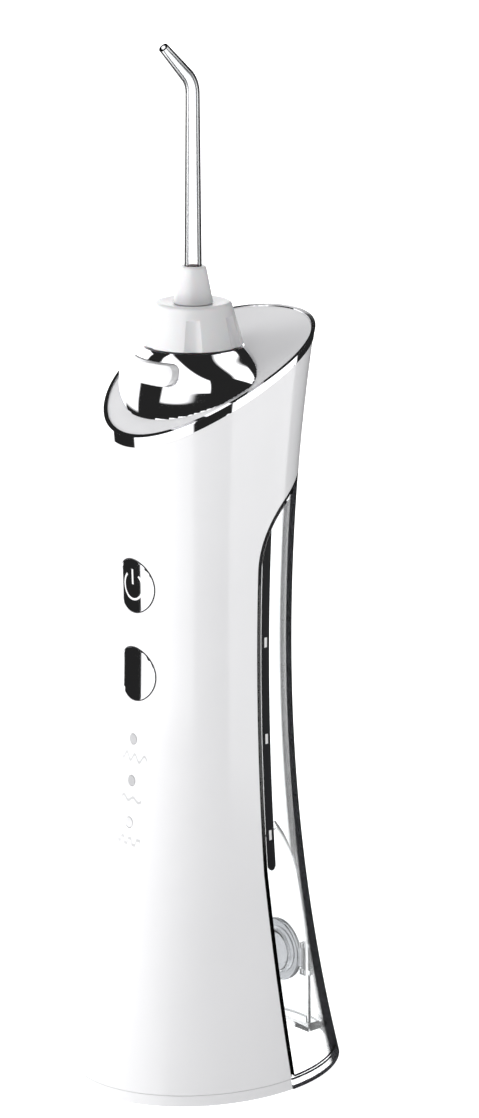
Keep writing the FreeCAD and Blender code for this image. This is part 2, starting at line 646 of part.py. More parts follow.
def base_screws():
    """Three screws that hold the base cap."""
    return Part.makeCompound([screw_z(x, y, SCREW_HEAD + 0.4, 9.0, True) for x, y in SCREW_PLACES])


# ---------------------------------------------------------------- push buttons and lamps
FLANGE_RADIUS = 8.0
GASKET_RADIUS = 9.0
GASKET_THICK = 0.4
FLANGE_INSET = SHELL_WALL + GASKET_THICK + 0.1
FLANGE_THICK = 1.1


def push_button(z):
    """A round push button whose face follows the handle's front, with a flange behind the shell."""
    low, high = z - GASKET_RADIUS - 2, z + GASKET_RADIUS + 2
    back = skin(FLANGE_INSET + FLANGE_THICK, low, high)
    disc = rod_y(0, z, BUTTON_RADIUS, -FAR, 0).common(skin(-BUTTON_PROUD, low, high))
    rim = [e for e in disc.Edges if e.BoundBox.YMax < -5]
    disc = disc.makeFillet(0.35, rim)
    flange = rod_y(0, z, FLANGE_RADIUS, -FAR, 0).common(skin(FLANGE_INSET, low, high))
    return disc.fuse(flange).cut(back).removeSplitter()


def button_gaskets():
    """Soft rings between the shell and the buttons' flanges."""
    rings = []
    for z in button_places():
        low, high = z - GASKET_RADIUS - 2, z + GASKET_RADIUS + 2
        layer = skin(SHELL_WALL + 0.05, low, high).cut(skin(SHELL_WALL + GASKET_THICK, low - 1, high + 1))
        ring = rod_y(0, z, GASKET_RADIUS, -FAR, 0).cut(rod_y(0, z, BUTTON_RADIUS + 0.2, -FAR, 1))
        rings.append(ring.common(layer))
    return Part.makeCompound(rings)


def light_pipes():
    """Three clear rods that carry the lamps' light to the front."""
    pipes = []
    for z in LENS_Z:
        pipe = rod_y(0, z, LENS_RADIUS, -FAR, BOARD_FRONT_Y - LED_HEIGHT - 0.3)
        pipes.append(pipe.common(skin(0, z - 4, z + 4)))
    return Part.makeCompound(pipes)


LED_HEIGHT = 1.0


def lamp_leds():
    """Three small lamps on the board."""
    return Part.makeCompound(
        [box(-1.0, 1.0, BOARD_FRONT_Y - LED_HEIGHT, BOARD_FRONT_Y, z - 0.8, z + 0.8) for z in LENS_Z]
    )


def control_board():
    """Circuit board behind the buttons."""
    back_y = BOARD_FRONT_Y + BOARD_THICK
    board = box(-BOARD_HALF_WIDTH, BOARD_HALF_WIDTH, BOARD_FRONT_Y, back_y, BOARD_Z0, BOARD_Z1)
    upright = [e for e in board.Edges if abs(e.Vertexes[0].Y - e.Vertexes[1].Y) > 1]
    return board.makeFillet(1.5, upright)


def tact_switches():
    """One switch behind each button."""
    switches = []
    for z in button_places():
        body = box(-3, 3, BOARD_FRONT_Y - SWITCH_HEIGHT, BOARD_FRONT_Y, z - 3, z + 3)
        switches.append(body.fuse(rod_y(0, z, 1.5, BOARD_FRONT_Y - SWITCH_HEIGHT - 0.4, BOARD_FRONT_Y)))
    return Part.makeCompound(switches)


def control_chip():
    """The controller on the board."""
    x = BOARD_HALF_WIDTH - 4.6
    return box(-x, x, BOARD_FRONT_Y - 1.0, BOARD_FRONT_Y, POWER_Z - 15.5, POWER_Z - 9.5)


CELL_Y = FRAME_FACE_Y - FRAME_THICK - CELL_RADIUS + 0.5


def battery_cell():
    """Rechargeable cell with its raised terminal."""
    cell = rod_z(0, CELL_Y, CELL_RADIUS, CELL_Z, CELL_Z + CELL_LENGTH - 1.2)
    cell = cell.makeFillet(0.5, top_rims(cell, CELL_Z + CELL_LENGTH - 1.2) + top_rims(cell, CELL_Z))
    return cell.fuse(rod_z(0, CELL_Y, 2.6, CELL_Z + CELL_LENGTH - 1.5, CELL_Z + CELL_LENGTH)).removeSplitter()


def battery_clips():
    """Two end cups that hold the cell."""
    clips = []
    top = CELL_Z + CELL_LENGTH
    for z0, z1, side in ((CELL_Z - 1.4, CELL_Z + 4, 1), (top - 5, top + 1.4, -1)):
        cup = box(-CELL_RADIUS - 1.4, CELL_RADIUS + 1.4, CELL_Y - 3, FRAME_FACE_Y, z0, z1)
        inner = (z0 + 1.3, z1 + 1) if side > 0 else (z0 - 1, z1 - 1.3)
        cup = cup.cut(rod_z(0, CELL_Y, CELL_RADIUS + FIT_GAP, *inner))
        clips.append(cup)
    return Part.makeCompound(clips)


# ---------------------------------------------------------------- drive
PINION_RADIUS = GEAR_MODULE * PINION_TEETH / 2
CRANK_RADIUS = GEAR_MODULE * CRANK_TEETH / 2
CRANK_Z = MOTOR_Z + PINION_RADIUS + CRANK_RADIUS + GEAR_CLEARANCE
GEAR_FRONT_Y = GEAR_BACK_Y - GEAR_THICK
MOTOR_FRONT_Y = MOTOR_BACK_Y + MOTOR_LENGTH
ROD_BACK_Y = GEAR_FRONT_Y - 1.5
ROD_FRONT_Y = ROD_BACK_Y - ROD_THICK
PUMP_Y = (ROD_BACK_Y + ROD_FRONT_Y) / 2
WRIST_Z = CRANK_Z + CRANK_THROW + ROD_LENGTH
STROKE = 2 * CRANK_THROW
CROWN_Z = WRIST_Z + PISTON_CROWN
PUMP_Z = WRIST_Z + PISTON_SKIRT
PUMP_SPLIT_Z = CROWN_Z + 7.0
INLET_SEAT_Z = PUMP_SPLIT_Z - 3.0
OUTLET_SEAT_Z = PUMP_SPLIT_Z - 1.0
CHAMBER_HEIGHT = 6.5
PUMP_TOP_Z = PUMP_SPLIT_Z + 8.0
PUMP_HEAD_HALF_WIDTH = VALVE_X + VALVE_CHAMBER_RADIUS + 1.4
PUMP_HEAD_HALF_DEPTH = 4.4
BARB_LENGTH = 4.5
BARB_RADIUS = 1.7


def involute(angle):
    """The involute function."""
    return math.tan(angle) - angle


def gear(teeth, y0, y1, z, turn):
    """A spur gear on a Y axis, with involute flanks; turn is the angle of its first tooth, in radians."""
    pitch = GEAR_MODULE * teeth / 2
    base = pitch * math.cos(PRESSURE_ANGLE)
    tip, root = pitch + 0.8 * GEAR_MODULE, pitch - 1.1 * GEAR_MODULE

    def half_angle(radius):
        """Half the tooth's angle at a radius."""
        flank = math.acos(min(1.0, base / max(radius, base)))
        at_pitch = (math.pi * GEAR_MODULE / 2 - BACKLASH) / (2 * pitch)
        return at_pitch + involute(PRESSURE_ANGLE) - involute(flank)

    low = max(base, root)
    radii = [root] + [low + (tip - low) * i / 4 for i in range(1 if low == root else 0, 5)]
    flank = [(radius, half_angle(radius)) for radius in radii]
    outline = []
    for i in range(teeth):
        middle = turn + 2 * math.pi * i / teeth
        outline += [(radius, middle - half) for radius, half in flank]
        outline += [(radius, middle + half) for radius, half in reversed(flank)]
    corners = [Vector(r * math.cos(a), y0, z + r * math.sin(a)) for r, a in outline]
    return Part.Face(Part.makePolygon(corners + corners[:1])).extrude(Vector(0, y1 - y0, 0))


def motor_case():
    """Steel can of the motor, round with two flats."""
    can = rod_y(0, MOTOR_Z, MOTOR_RADIUS, MOTOR_BACK_Y, MOTOR_FRONT_Y)
    flats = box(-FAR, FAR, -FAR, FAR, MOTOR_Z - MOTOR_HALF_FLAT, MOTOR_Z + MOTOR_HALF_FLAT)
    can = can.common(flats)
    inner = rod_y(0, MOTOR_Z, MOTOR_RADIUS - 0.8, MOTOR_BACK_Y - 1, MOTOR_FRONT_Y - 1)
    low, high = MOTOR_Z - MOTOR_HALF_FLAT + 0.8, MOTOR_Z + MOTOR_HALF_FLAT - 0.8
    inner = inner.common(box(-FAR, FAR, -FAR, FAR, low, high))
    boss = rod_y(0, MOTOR_Z, 3.0, MOTOR_FRONT_Y - 1, MOTOR_FRONT_Y + 1)
    return can.cut(inner).fuse(boss).cut(rod_y(0, MOTOR_Z, SHAFT_RADIUS + RUNNING_GAP, -FAR, FAR))


def motor_end_cap():
    """Plastic end of the motor with its two terminals."""
    plug = rod_y(0, MOTOR_Z, MOTOR_RADIUS - 0.9, MOTOR_BACK_Y, MOTOR_BACK_Y + 3)
    low, high = MOTOR_Z - MOTOR_HALF_FLAT + 0.9, MOTOR_Z + MOTOR_HALF_FLAT - 0.9
    plug = plug.common(box(-FAR, FAR, -FAR, FAR, low, high))
    plug = plug.cut(rod_y(0, MOTOR_Z, SHAFT_RADIUS + RUNNING_GAP, MOTOR_BACK_Y + 1, FAR))
    y0, y1 = MOTOR_BACK_Y - 1.6, MOTOR_BACK_Y + 0.5
    for x in (-5, 5):
        plug = plug.fuse(box(x - 1, x + 1, y0, y1, MOTOR_Z - 0.3, MOTOR_Z + 0.3))
    return plug.removeSplitter()


def motor_rotor():
    """Shaft with its wound armature."""
    shaft = rod_y(0, MOTOR_Z, SHAFT_RADIUS, MOTOR_BACK_Y + 1.2, GEAR_BACK_Y + 0.2)
    core = rod_y(0, MOTOR_Z, 5.0, MOTOR_BACK_Y + 8, MOTOR_FRONT_Y - 4)
    for i in range(3):
        turn = math.radians(120 * i + 90)
        core = core.cut(rod_y(5.2 * math.cos(turn), MOTOR_Z + 5.2 * math.sin(turn), 1.6, -FAR, FAR))
    commutator = rod_y(0, MOTOR_Z, 1.9, MOTOR_BACK_Y + 4, MOTOR_BACK_Y + 8)
    return shaft.fuse([core, commutator]).removeSplitter()


def motor_magnets():
    """Two curved magnets inside the can."""
    inside = MOTOR_RADIUS - 0.9
    sleeve = rod_y(0, MOTOR_Z, inside, MOTOR_BACK_Y + 7, MOTOR_FRONT_Y - 3)
    sleeve = sleeve.cut(rod_y(0, MOTOR_Z, 5.6, -FAR, FAR))
    return sleeve.common(box(-FAR, FAR, -FAR, FAR, MOTOR_Z - 4.5, MOTOR_Z + 4.5))


def drive_pinion():
    """Brass pinion on the motor's shaft."""
    start = math.pi / 2 + math.pi / PINION_TEETH
    pinion = gear(PINION_TEETH, GEAR_FRONT_Y, GEAR_BACK_Y, MOTOR_Z, start)
    return pinion.cut(rod_y(0, MOTOR_Z, SHAFT_RADIUS, -FAR, FAR))


def crank_gear():
    """Large gear with the crank pin on its front face."""
    wheel = gear(CRANK_TEETH, GEAR_FRONT_Y, GEAR_BACK_Y, CRANK_Z, -math.pi / 2)
    for i in range(5):
        turn = math.radians(90 + 72 * i + 36)
        reach = CRANK_RADIUS * 0.62
        wheel = wheel.cut(rod_y(reach * math.cos(turn), CRANK_Z + reach * math.sin(turn), 2.3, -FAR, FAR))
    wheel = wheel.cut(rod_y(0, CRANK_Z, AXLE_RADIUS + RUNNING_GAP, -FAR, FAR))
    pin = rod_y(0, CRANK_Z + CRANK_THROW, CRANK_PIN_RADIUS, ROD_BACK_Y + OPEN_PIVOT_GAP, GEAR_FRONT_Y)
    return wheel.fuse(pin)


def gear_axle():
    """Fixed steel axle of the crank gear."""
    return rod_y(0, CRANK_Z, AXLE_RADIUS, GEAR_FRONT_Y - 0.4, FRAME_FACE_Y)


def connecting_rod():
    """Rod between the crank pin and the piston, drawn at the top of its stroke."""
    eye_z = CRANK_Z + CRANK_THROW
    body = rod_y(0, eye_z, ROD_EYE_RADIUS, ROD_FRONT_Y, ROD_BACK_Y)
    body = body.fuse(rod_y(0, WRIST_Z, WRIST_PIN_RADIUS + 1.1, ROD_FRONT_Y, ROD_BACK_Y))
    body = body.fuse(box(-1.3, 1.3, ROD_FRONT_Y, ROD_BACK_Y, eye_z, WRIST_Z))
    body = body.cut(rod_y(0, eye_z, CRANK_PIN_RADIUS + 0.4, -FAR, FAR))
    return body.cut(rod_y(0, WRIST_Z, WRIST_PIN_RADIUS + RUNNING_GAP, -FAR, FAR)).removeSplitter()


def piston():
    """Plunger with a slot for the rod and a groove for its seal."""
    body = rod_z(0, PUMP_Y, PISTON_RADIUS, WRIST_Z - PISTON_SKIRT, CROWN_Z)
    slot_bottom, slot_top = WRIST_Z - PISTON_SKIRT - 1, WRIST_Z + WRIST_PIN_RADIUS + 1.4
    body = body.cut(box(-FAR, FAR, ROD_FRONT_Y - 0.15, ROD_BACK_Y + 0.15, slot_bottom, slot_top))
    body = body.cut(rod_y(0, WRIST_Z, WRIST_PIN_RADIUS, -FAR, FAR))
    seat = rod_z(0, PUMP_Y, PISTON_RADIUS + 1, CROWN_Z - 2.4, CROWN_Z - 1.2)
    return body.cut(seat.cut(rod_z(0, PUMP_Y, PISTON_RADIUS - 0.9, CROWN_Z - 3, CROWN_Z)))


def wrist_pin():
    """Pin that joins the rod to the piston."""
    return rod_y(0, WRIST_Z, WRIST_PIN_RADIUS, PUMP_Y - PISTON_RADIUS + 0.3, PUMP_Y + PISTON_RADIUS - 0.3)


def piston_seal():
    """Seal ring in the piston's groove."""
    ring = rod_z(0, PUMP_Y, PISTON_RADIUS, CROWN_Z - 2.4, CROWN_Z - 1.2)
    return ring.cut(rod_z(0, PUMP_Y, PISTON_RADIUS - 0.9, CROWN_Z - 3, CROWN_Z))


def pump_voids():
    """Everything hollow inside the pump's body and head."""
    y = PUMP_Y
    chamber_top = INLET_SEAT_Z + CHAMBER_HEIGHT
    voids = [
        rod_z(0, y, PISTON_RADIUS + RUNNING_GAP, PUMP_Z - 1, CROWN_Z + 0.8),
        rod_z(0, y, 1.2, CROWN_Z, PUMP_SPLIT_Z + 2.6),
        rod_z(-VALVE_X, y, HOSE_BORE, PUMP_Z - 9, INLET_SEAT_Z),
        rod_z(-VALVE_X, y, VALVE_SEAT_RADIUS, INLET_SEAT_Z - 2, INLET_SEAT_Z),
        rod_z(-VALVE_X, y, VALVE_CHAMBER_RADIUS, INLET_SEAT_Z, chamber_top),
        rod_x(y, PUMP_SPLIT_Z + 1.6, 0.9, -VALVE_X, 0),
        rod_z(VALVE_X, y, VALVE_SEAT_RADIUS, OUTLET_SEAT_Z - 3, OUTLET_SEAT_Z),
        rod_x(y, OUTLET_SEAT_Z - 2.4, 0.9, 0, VALVE_X),
        rod_z(VALVE_X, y, VALVE_CHAMBER_RADIUS, OUTLET_SEAT_Z, OUTLET_SEAT_Z + CHAMBER_HEIGHT),
        rod_z(VALVE_X, y, HOSE_BORE, OUTLET_SEAT_Z, PUMP_TOP_Z + BARB_LENGTH + 1),
    ]
    return voids


def pump_block(z0, z1):
    """The pump's outer block between two heights."""
    wide = PUMP_HEAD_HALF_WIDTH
    block = box(-wide, wide, PUMP_Y - PUMP_HEAD_HALF_DEPTH, PUMP_Y + PUMP_HEAD_HALF_DEPTH, z0, z1)
    upright = [e for e in block.Edges if abs(e.Vertexes[0].Z - e.Vertexes[1].Z) > 1]
    return block.makeFillet(2.5, upright)


def pump_body():
    """Cylinder of the pump, with the inlet's barb pointing down."""
    y = PUMP_Y
    body = rod_z(0, y, PISTON_RADIUS + PUMP_WALL, PUMP_Z, CROWN_Z + 1.8)
    body = body.fuse(pump_block(CROWN_Z + 1.6, PUMP_SPLIT_Z))
    body = body.fuse(rod_z(-VALVE_X, y, BARB_RADIUS, CROWN_Z + 1.6 - BARB_LENGTH, CROWN_Z + 2))
    return body.cut(Part.makeCompound(pump_voids())).removeSplitter()


def pump_head():
    """Head of the pump, with the outlet's barb pointing up."""
    body = pump_block(PUMP_SPLIT_Z, PUMP_TOP_Z)
    body = body.fuse(rod_z(VALVE_X, PUMP_Y, BARB_RADIUS, PUMP_TOP_Z - 1, PUMP_TOP_Z + BARB_LENGTH))
    return body.cut(Part.makeCompound(pump_voids())).removeSplitter()


def ball_rest_z(seat_z):
    """Centre of a valve ball that lies on its seat."""
    return seat_z + math.sqrt(VALVE_BALL_RADIUS**2 - VALVE_SEAT_RADIUS**2) + 0.01


def valve_ball(x, seat_z):
    """One valve ball on its seat."""
    return Part.makeSphere(VALVE_BALL_RADIUS, Vector(x, PUMP_Y, ball_rest_z(seat_z)))


def valve_spring(x, seat_z):
    """Spring over a valve ball."""
    start = Vector(x, PUMP_Y, ball_rest_z(seat_z) + VALVE_BALL_RADIUS - 0.35)
    length = seat_z + CHAMBER_HEIGHT - start.z - 0.05
    return coil_spring(VALVE_COIL_RADIUS, VALVE_WIRE, start, Vector(0, 0, 1), length, SPRING_TURNS)


def drive_frame():
    """Plate that carries the gear axle and the pump."""
    y0 = FRAME_FACE_Y - FRAME_THICK
    plate = box(-FRAME_HALF_WIDTH, FRAME_HALF_WIDTH, y0, FRAME_FACE_Y, BASE_TOP_Z, PUMP_TOP_Z)
    plate = plate.cut(rod_y(0, CRANK_Z, AXLE_RADIUS, -FAR, FAR))
    for z in (CROWN_Z + 4.5, PUMP_TOP_Z - 3.5):
        for side in (-1, 1):
            plate = plate.fuse(rod_y(side * 3.6, z, 1.6, PUMP_Y + PUMP_HEAD_HALF_DEPTH, y0))
    window = box(-8, 8, y0 - 1, FRAME_FACE_Y + 1, CRANK_Z + 6, PUMP_Z - 3)
    return plate.cut(window).removeSplitter()


def motor_cradle():
    """Block on the base cap that the motor lies in."""
    y0, y1 = MOTOR_BACK_Y + 3, MOTOR_FRONT_Y - 3
    block = box(-9, 9, y0, y1, BASE_CAP_HEIGHT, MOTOR_Z - MOTOR_HALF_FLAT - RUNNING_GAP)
    block = block.fuse(box(-12, 12, y0, y1, BASE_CAP_HEIGHT, 6))
    for x in (-11.2, 11.2):
        block = block.fuse(box(x - 1, x + 1, y0, y1, BASE_CAP_HEIGHT, MOTOR_Z + 4))
    return block.removeSplitter()


# ---------------------------------------------------------------- hoses
def routed(points, radius, section_radius):
    """A round bar along straight runs, with an arc of one radius at each corner."""
    edges = []
    here = points[0]
    for before, corner, after in zip(points, points[1:], points[2:]):
        into, out = (corner - before).normalize(), (after - corner).normalize()
        turn = into.getAngle(out)
        back = radius * math.tan(turn / 2)
        start, end = corner - into * back, corner + out * back
        inward = (out - into).normalize()
        middle = corner + inward * (radius / math.cos(turn / 2) - radius)
        edges += [Part.makeLine(here, start), Part.Arc(start, middle, end).toShape()]
        here = end
    edges.append(Part.makeLine(here, points[-1]))
    along = (points[1] - points[0]).normalize()
    section = Part.Wire(Part.makeCircle(section_radius, points[0], along))
    return Part.Wire(edges).makePipeShell([section], True, True)


def hose(points, radius):
    """A hose with its bore, along straight runs and arcs."""
    return routed(points, radius, HOSE_RADIUS).cut(routed(points, radius, HOSE_BORE))


INLET_END_Z = CROWN_Z + 1.6 - BARB_LENGTH
GROMMET_FRONT_Y = -4.0


def suction_hose():
    """Hose from the tank's coupling up to the pump's inlet."""
    side_y = GROMMET_FRONT_Y - 7.5
    points = [
        Vector(SPIGOT_X, GROMMET_FRONT_Y, SPIGOT_Z),
        Vector(SPIGOT_X, side_y, SPIGOT_Z),
        Vector(SPIGOT_X, side_y, INLET_END_Z - 17),
        Vector(-VALVE_X, PUMP_Y, INLET_END_Z - 6),
        Vector(-VALVE_X, PUMP_Y, INLET_END_Z),
    ]
    return hose(points, 4.5)


def pressure_hose():
    """Hose from the pump's outlet past the cell to the nozzle socket."""
    side_x = CELL_RADIUS + 1.4 + HOSE_RADIUS + 0.5
    low, high = PUMP_TOP_Z + BARB_LENGTH, SOCKET_BARB_Z
    points = [
        Vector(VALVE_X, PUMP_Y, low),
        Vector(VALVE_X, PUMP_Y, low + 2.5),
        Vector(side_x, PUMP_Y, low + 8),
        Vector(side_x, PUMP_Y, high - 16),
        Vector(0, NOZZLE_Y, high - 5),
        Vector(0, NOZZLE_Y, high),
    ]
    return hose(points, 4.0)


# ---------------------------------------------------------------- tank
def niche(grow):
    """The flat niche behind the tank, a pointed arch pushed out of the back, larger by grow."""
    half, low = NICHE_HALF_WIDTH + grow, NICHE_BOTTOM_Z - grow
    y0 = NICHE_Y - grow
    corners = [Vector(-half, y0, low), Vector(half, y0, low), Vector(half, y0, NICHE_SHOULDER_Z)]
    point = Vector(0, y0, NICHE_TOP_Z + grow)
    left = Vector(-half, y0, NICHE_SHOULDER_Z)
    bulge = Vector(half * 0.68, y0, (NICHE_SHOULDER_Z + NICHE_TOP_Z) / 2 + 3.0)
    edges = [
        Part.makeLine(corners[0], corners[1]),
        Part.makeLine(corners[1], corners[2]),
        Part.Arc(corners[2], bulge, point).toShape(),
        Part.Arc(point, Vector(-bulge.x, y0, bulge.z), left).toShape(),
        Part.makeLine(left, corners[0]),
    ]
    return Part.Face(Part.Wire(edges)).extrude(Vector(0, FAR, 0))


TANK_TOP_Z = SHOULDER_Z + 40.0


def tank_outside():
    """The whole outer form of the tank."""
    return skin(0, 0, TANK_TOP_Z).common(tank_side(0)).cut(niche(0))


def tank_inside():
    """The water space."""
    space = skin(TANK_WALL, TANK_FLOOR, TANK_TOP_Z).common(tank_side(-TANK_WALL, TANK_FLOOR - 5))
    return space.cut(niche(TANK_WALL))


def strip_form(grow):
    """Both level strips as they lie in the tank's outer surface, larger by grow all round."""
    middle, radius = STRIP_Y0 + STRIP_WIDTH / 2, STRIP_WIDTH / 2 + grow
    end_z = STRIP_BOTTOM_Z + STRIP_WIDTH / 2
    bar = box(-FAR, FAR, middle - radius, middle + radius, end_z, TANK_TOP_Z)
    outline = bar.fuse(rod_x(middle, end_z, radius, -FAR, FAR)).common(tank_side(grow - STRIP_END_MARGIN))
    layer = skin(-grow, STRIP_BOTTOM_Z - 2, TANK_TOP_Z)
    return outline.common(layer).cut(skin(STRIP_DEEP + grow, STRIP_BOTTOM_Z - 3, TANK_TOP_Z + 1))


def tick_blocks(grow):
    """Side outlines of the level marks, pushed out across the tank, larger by grow all round."""
    middle = STRIP_Y0 + STRIP_WIDTH / 2
    half, high = TICK_WIDTH / 2 + grow, TICK_HEIGHT / 2 + grow
    blocks = []
    for i in range(TICK_COUNT):
        z = TICK_BOTTOM_Z + i * TICK_PITCH
        blocks.append(box(-FAR, FAR, middle - half, middle + half, z - high, z + high))
    return Part.makeCompound(blocks)


def tank_shell():
    """Clear back of the tank: walls, floor and the niche with the filling port."""
    shell = tank_outside().common(tank_side(-TANK_WALL)).cut(tank_inside())
    shell = shell.cut(strip_form(STRIP_GAP))
    return shell.cut(rod_y(0, PORT_Z, PORT_RADIUS, NICHE_Y - 10, FAR))


def tank_front():
    """Clear front and shoulder of the tank, with the spigot that feeds the pump."""
    front = tank_outside().cut(tank_side(-TANK_WALL))
    front = front.cut(strip_form(STRIP_GAP))
    spigot = rod_y(SPIGOT_X, SPIGOT_Z, SPIGOT_RADIUS, GROMMET_FRONT_Y + 0.2, SEAM_BASE_Y)
    front = front.fuse(spigot)
    return front.cut(rod_y(SPIGOT_X, SPIGOT_Z, SPIGOT_BORE, GROMMET_FRONT_Y - 1, SEAM_BASE_Y + TANK_WALL + 1))


def level_strips():
    """Dark strips let into both sides of the tank."""
    return strip_form(0).cut(tick_blocks(STRIP_GAP))


def level_ticks():
    """Pale marks in the level strips."""
    return strip_form(0).common(tick_blocks(0))


def tank_grommet():
    """Rubber seal in the partition, round the tank's spigot."""
    body = rod_y(SPIGOT_X, SPIGOT_Z, GROMMET_RADIUS, GROMMET_FRONT_Y, SEAM_BASE_Y + 1)
    body = body.cut(tank_side(SEAM_GAP))
    return body.cut(rod_y(SPIGOT_X, SPIGOT_Z, SPIGOT_RADIUS + RUNNING_GAP, GROMMET_FRONT_Y - 1, FAR))


def fill_cap():
    """Round cap of the filling port, with its plug and hinge eye."""
    y0 = NICHE_Y + CAP_GAP
    disc = rod_y(0, PORT_Z, CAP_RADIUS, y0, y0 + CAP_THICK)
    outer = [e for e in disc.Edges if len(e.Vertexes) == 1 and abs(e.Vertexes[0].Y - y0 - CAP_THICK) < 1e-6]
    disc = disc.makeFillet(0.6, outer)
    plug = cone_y(0, PORT_Z, PLUG_TIP_RADIUS, PORT_RADIUS - FIT_GAP, NICHE_Y - PLUG_DEPTH, y0)
    hinge_y = NICHE_Y + CAP_HINGE_OUT
    eye = rod_z(CAP_HINGE_X, hinge_y, 1.1, PORT_Z - 3, PORT_Z + 3)
    arm = box(CAP_RADIUS - 1.5, CAP_HINGE_X, hinge_y - 0.7, hinge_y + 0.7, PORT_Z - 3, PORT_Z + 3)
    finger = box(-CAP_RADIUS - 1.2, -CAP_RADIUS + 2, y0 + 0.8, y0 + CAP_THICK, PORT_Z - 2.5, PORT_Z + 2.5)
    cap = disc.fuse([plug, eye, arm, finger]).cut(rod_z(CAP_HINGE_X, hinge_y, 0.5 + RUNNING_GAP, -FAR, FAR))
    groove = rod_y(0, PORT_Z, 5.4, NICHE_Y + CAP_GAP + 1.4, FAR).cut(rod_y(0, PORT_Z, 4.8, 0, FAR))
    return cap.cut(groove).removeSplitter()


def cap_hinge_pin():
    """Pin of the cap's hinge."""
    return rod_z(CAP_HINGE_X, NICHE_Y + CAP_HINGE_OUT, 0.5, PORT_Z - 4.8, PORT_Z + 4.8)


def cap_lugs():
    """Two lugs of the tank that carry the cap's hinge pin."""
    lugs = []
    for z0, z1 in ((PORT_Z - 4.8, PORT_Z - 3.2), (PORT_Z + 3.2, PORT_Z + 4.8)):
        lug = rod_z(CAP_HINGE_X, NICHE_Y + CAP_HINGE_OUT, 1.1, z0, z1)
        lug = lug.fuse(box(CAP_HINGE_X - 1.1, CAP_HINGE_X + 1.1, NICHE_Y, NICHE_Y + CAP_HINGE_OUT, z0, z1))
        lugs.append(lug.cut(rod_z(CAP_HINGE_X, NICHE_Y + CAP_HINGE_OUT, 0.5, 0, FAR)))
    return Part.makeCompound(lugs)


# ---------------------------------------------------------------- charging port
FLAP_Y = half_depth(CHARGE_Z)
CHARGE_SHELL_Y = FLAP_Y - 3.2
FLAP_HINGE_RADIUS = 0.55
FLAP_HINGE_HALF = 3.2
FLAP_HINGE_Z = CHARGE_Z - FLAP_HALF_HEIGHT + FLAP_HINGE_RADIUS
FLAP_HINGE_Y = half_depth(FLAP_HINGE_Z) - FLAP_HINGE_RADIUS - 0.05


def flap_outline(grow, y0, y1):
    """Rounded outline of the charging flap, grown all round, between two depths."""
    long, high = FLAP_HALF_LENGTH + grow, FLAP_HALF_HEIGHT + grow
    block = box(-long, long, y0, y1, CHARGE_Z - high, CHARGE_Z + high)
    edges = [e for e in block.Edges if abs(e.Vertexes[0].Y - e.Vertexes[1].Y) > 1]
    return block.makeFillet(2.0, edges)


def charge_flap():
    """Soft flap over the charging socket, flush with the back."""
    low, high = CHARGE_Z - 12, CHARGE_Z + 12
    flap = flap_outline(0, 0, FAR).common(skin(0, low, high)).cut(skin(FLAP_THICK, low - 1, high + 1))
    flap = flap.cut(box(-FAR, FAR, 0, FAR, low, FLAP_HINGE_Z))
    bead = rod_x(FLAP_HINGE_Y, FLAP_HINGE_Z, FLAP_HINGE_RADIUS, -FLAP_HINGE_HALF, FLAP_HINGE_HALF)
    return flap.fuse(bead).removeSplitter()


def charge_tray():
    """Tray behind the flap that holds the charging socket."""
    back = flap_outline(FLAP_GAP + 1.4, CHARGE_SHELL_Y - 1.2, FAR)
    back = back.common(skin(SHELL_WALL + FIT_GAP, CHARGE_Z - 14, CHARGE_Z + 14))
    back = back.cut(flap_outline(FLAP_GAP, CHARGE_SHELL_Y, FAR))
    half = CHARGE_SLOT_HALF + FIT_GAP
    return back.cut(box(-half, half, 0, FAR, CHARGE_Z - 1.7, CHARGE_Z + 1.7))


def charge_socket():
    """Metal charging socket."""
    y0, y1 = CHARGE_SHELL_Y - 7.5, CHARGE_SHELL_Y + 0.6
    shell = box(-CHARGE_SLOT_HALF, CHARGE_SLOT_HALF, y0, y1, CHARGE_Z - 1.6, CHARGE_Z + 1.6)
    edges = [e for e in shell.Edges if abs(e.Vertexes[0].Y - e.Vertexes[1].Y) > 1]
    shell = shell.makeFillet(1.5, edges)
    half = CHARGE_SLOT_HALF - 0.3
    inner = box(-half, half, y0 + 0.8, y1 + 1, CHARGE_Z - 1.3, CHARGE_Z + 1.3)
    inner = inner.makeFillet(1.2, [e for e in inner.Edges if abs(e.Vertexes[0].Y - e.Vertexes[1].Y) > 1])
    tongue = box(-3.3, 3.3, y0 + 0.5, y1 - 1.2, CHARGE_Z - 0.35, CHARGE_Z + 0.35)
    return shell.cut(inner).fuse(tongue)


def charge_board():
    """Small board under the charging socket."""
    return box(-7, 7, CHARGE_SHELL_Y - 12, CHARGE_SHELL_Y - 1.4, CHARGE_Z - 1.6 - 1.2, CHARGE_Z - 1.6)


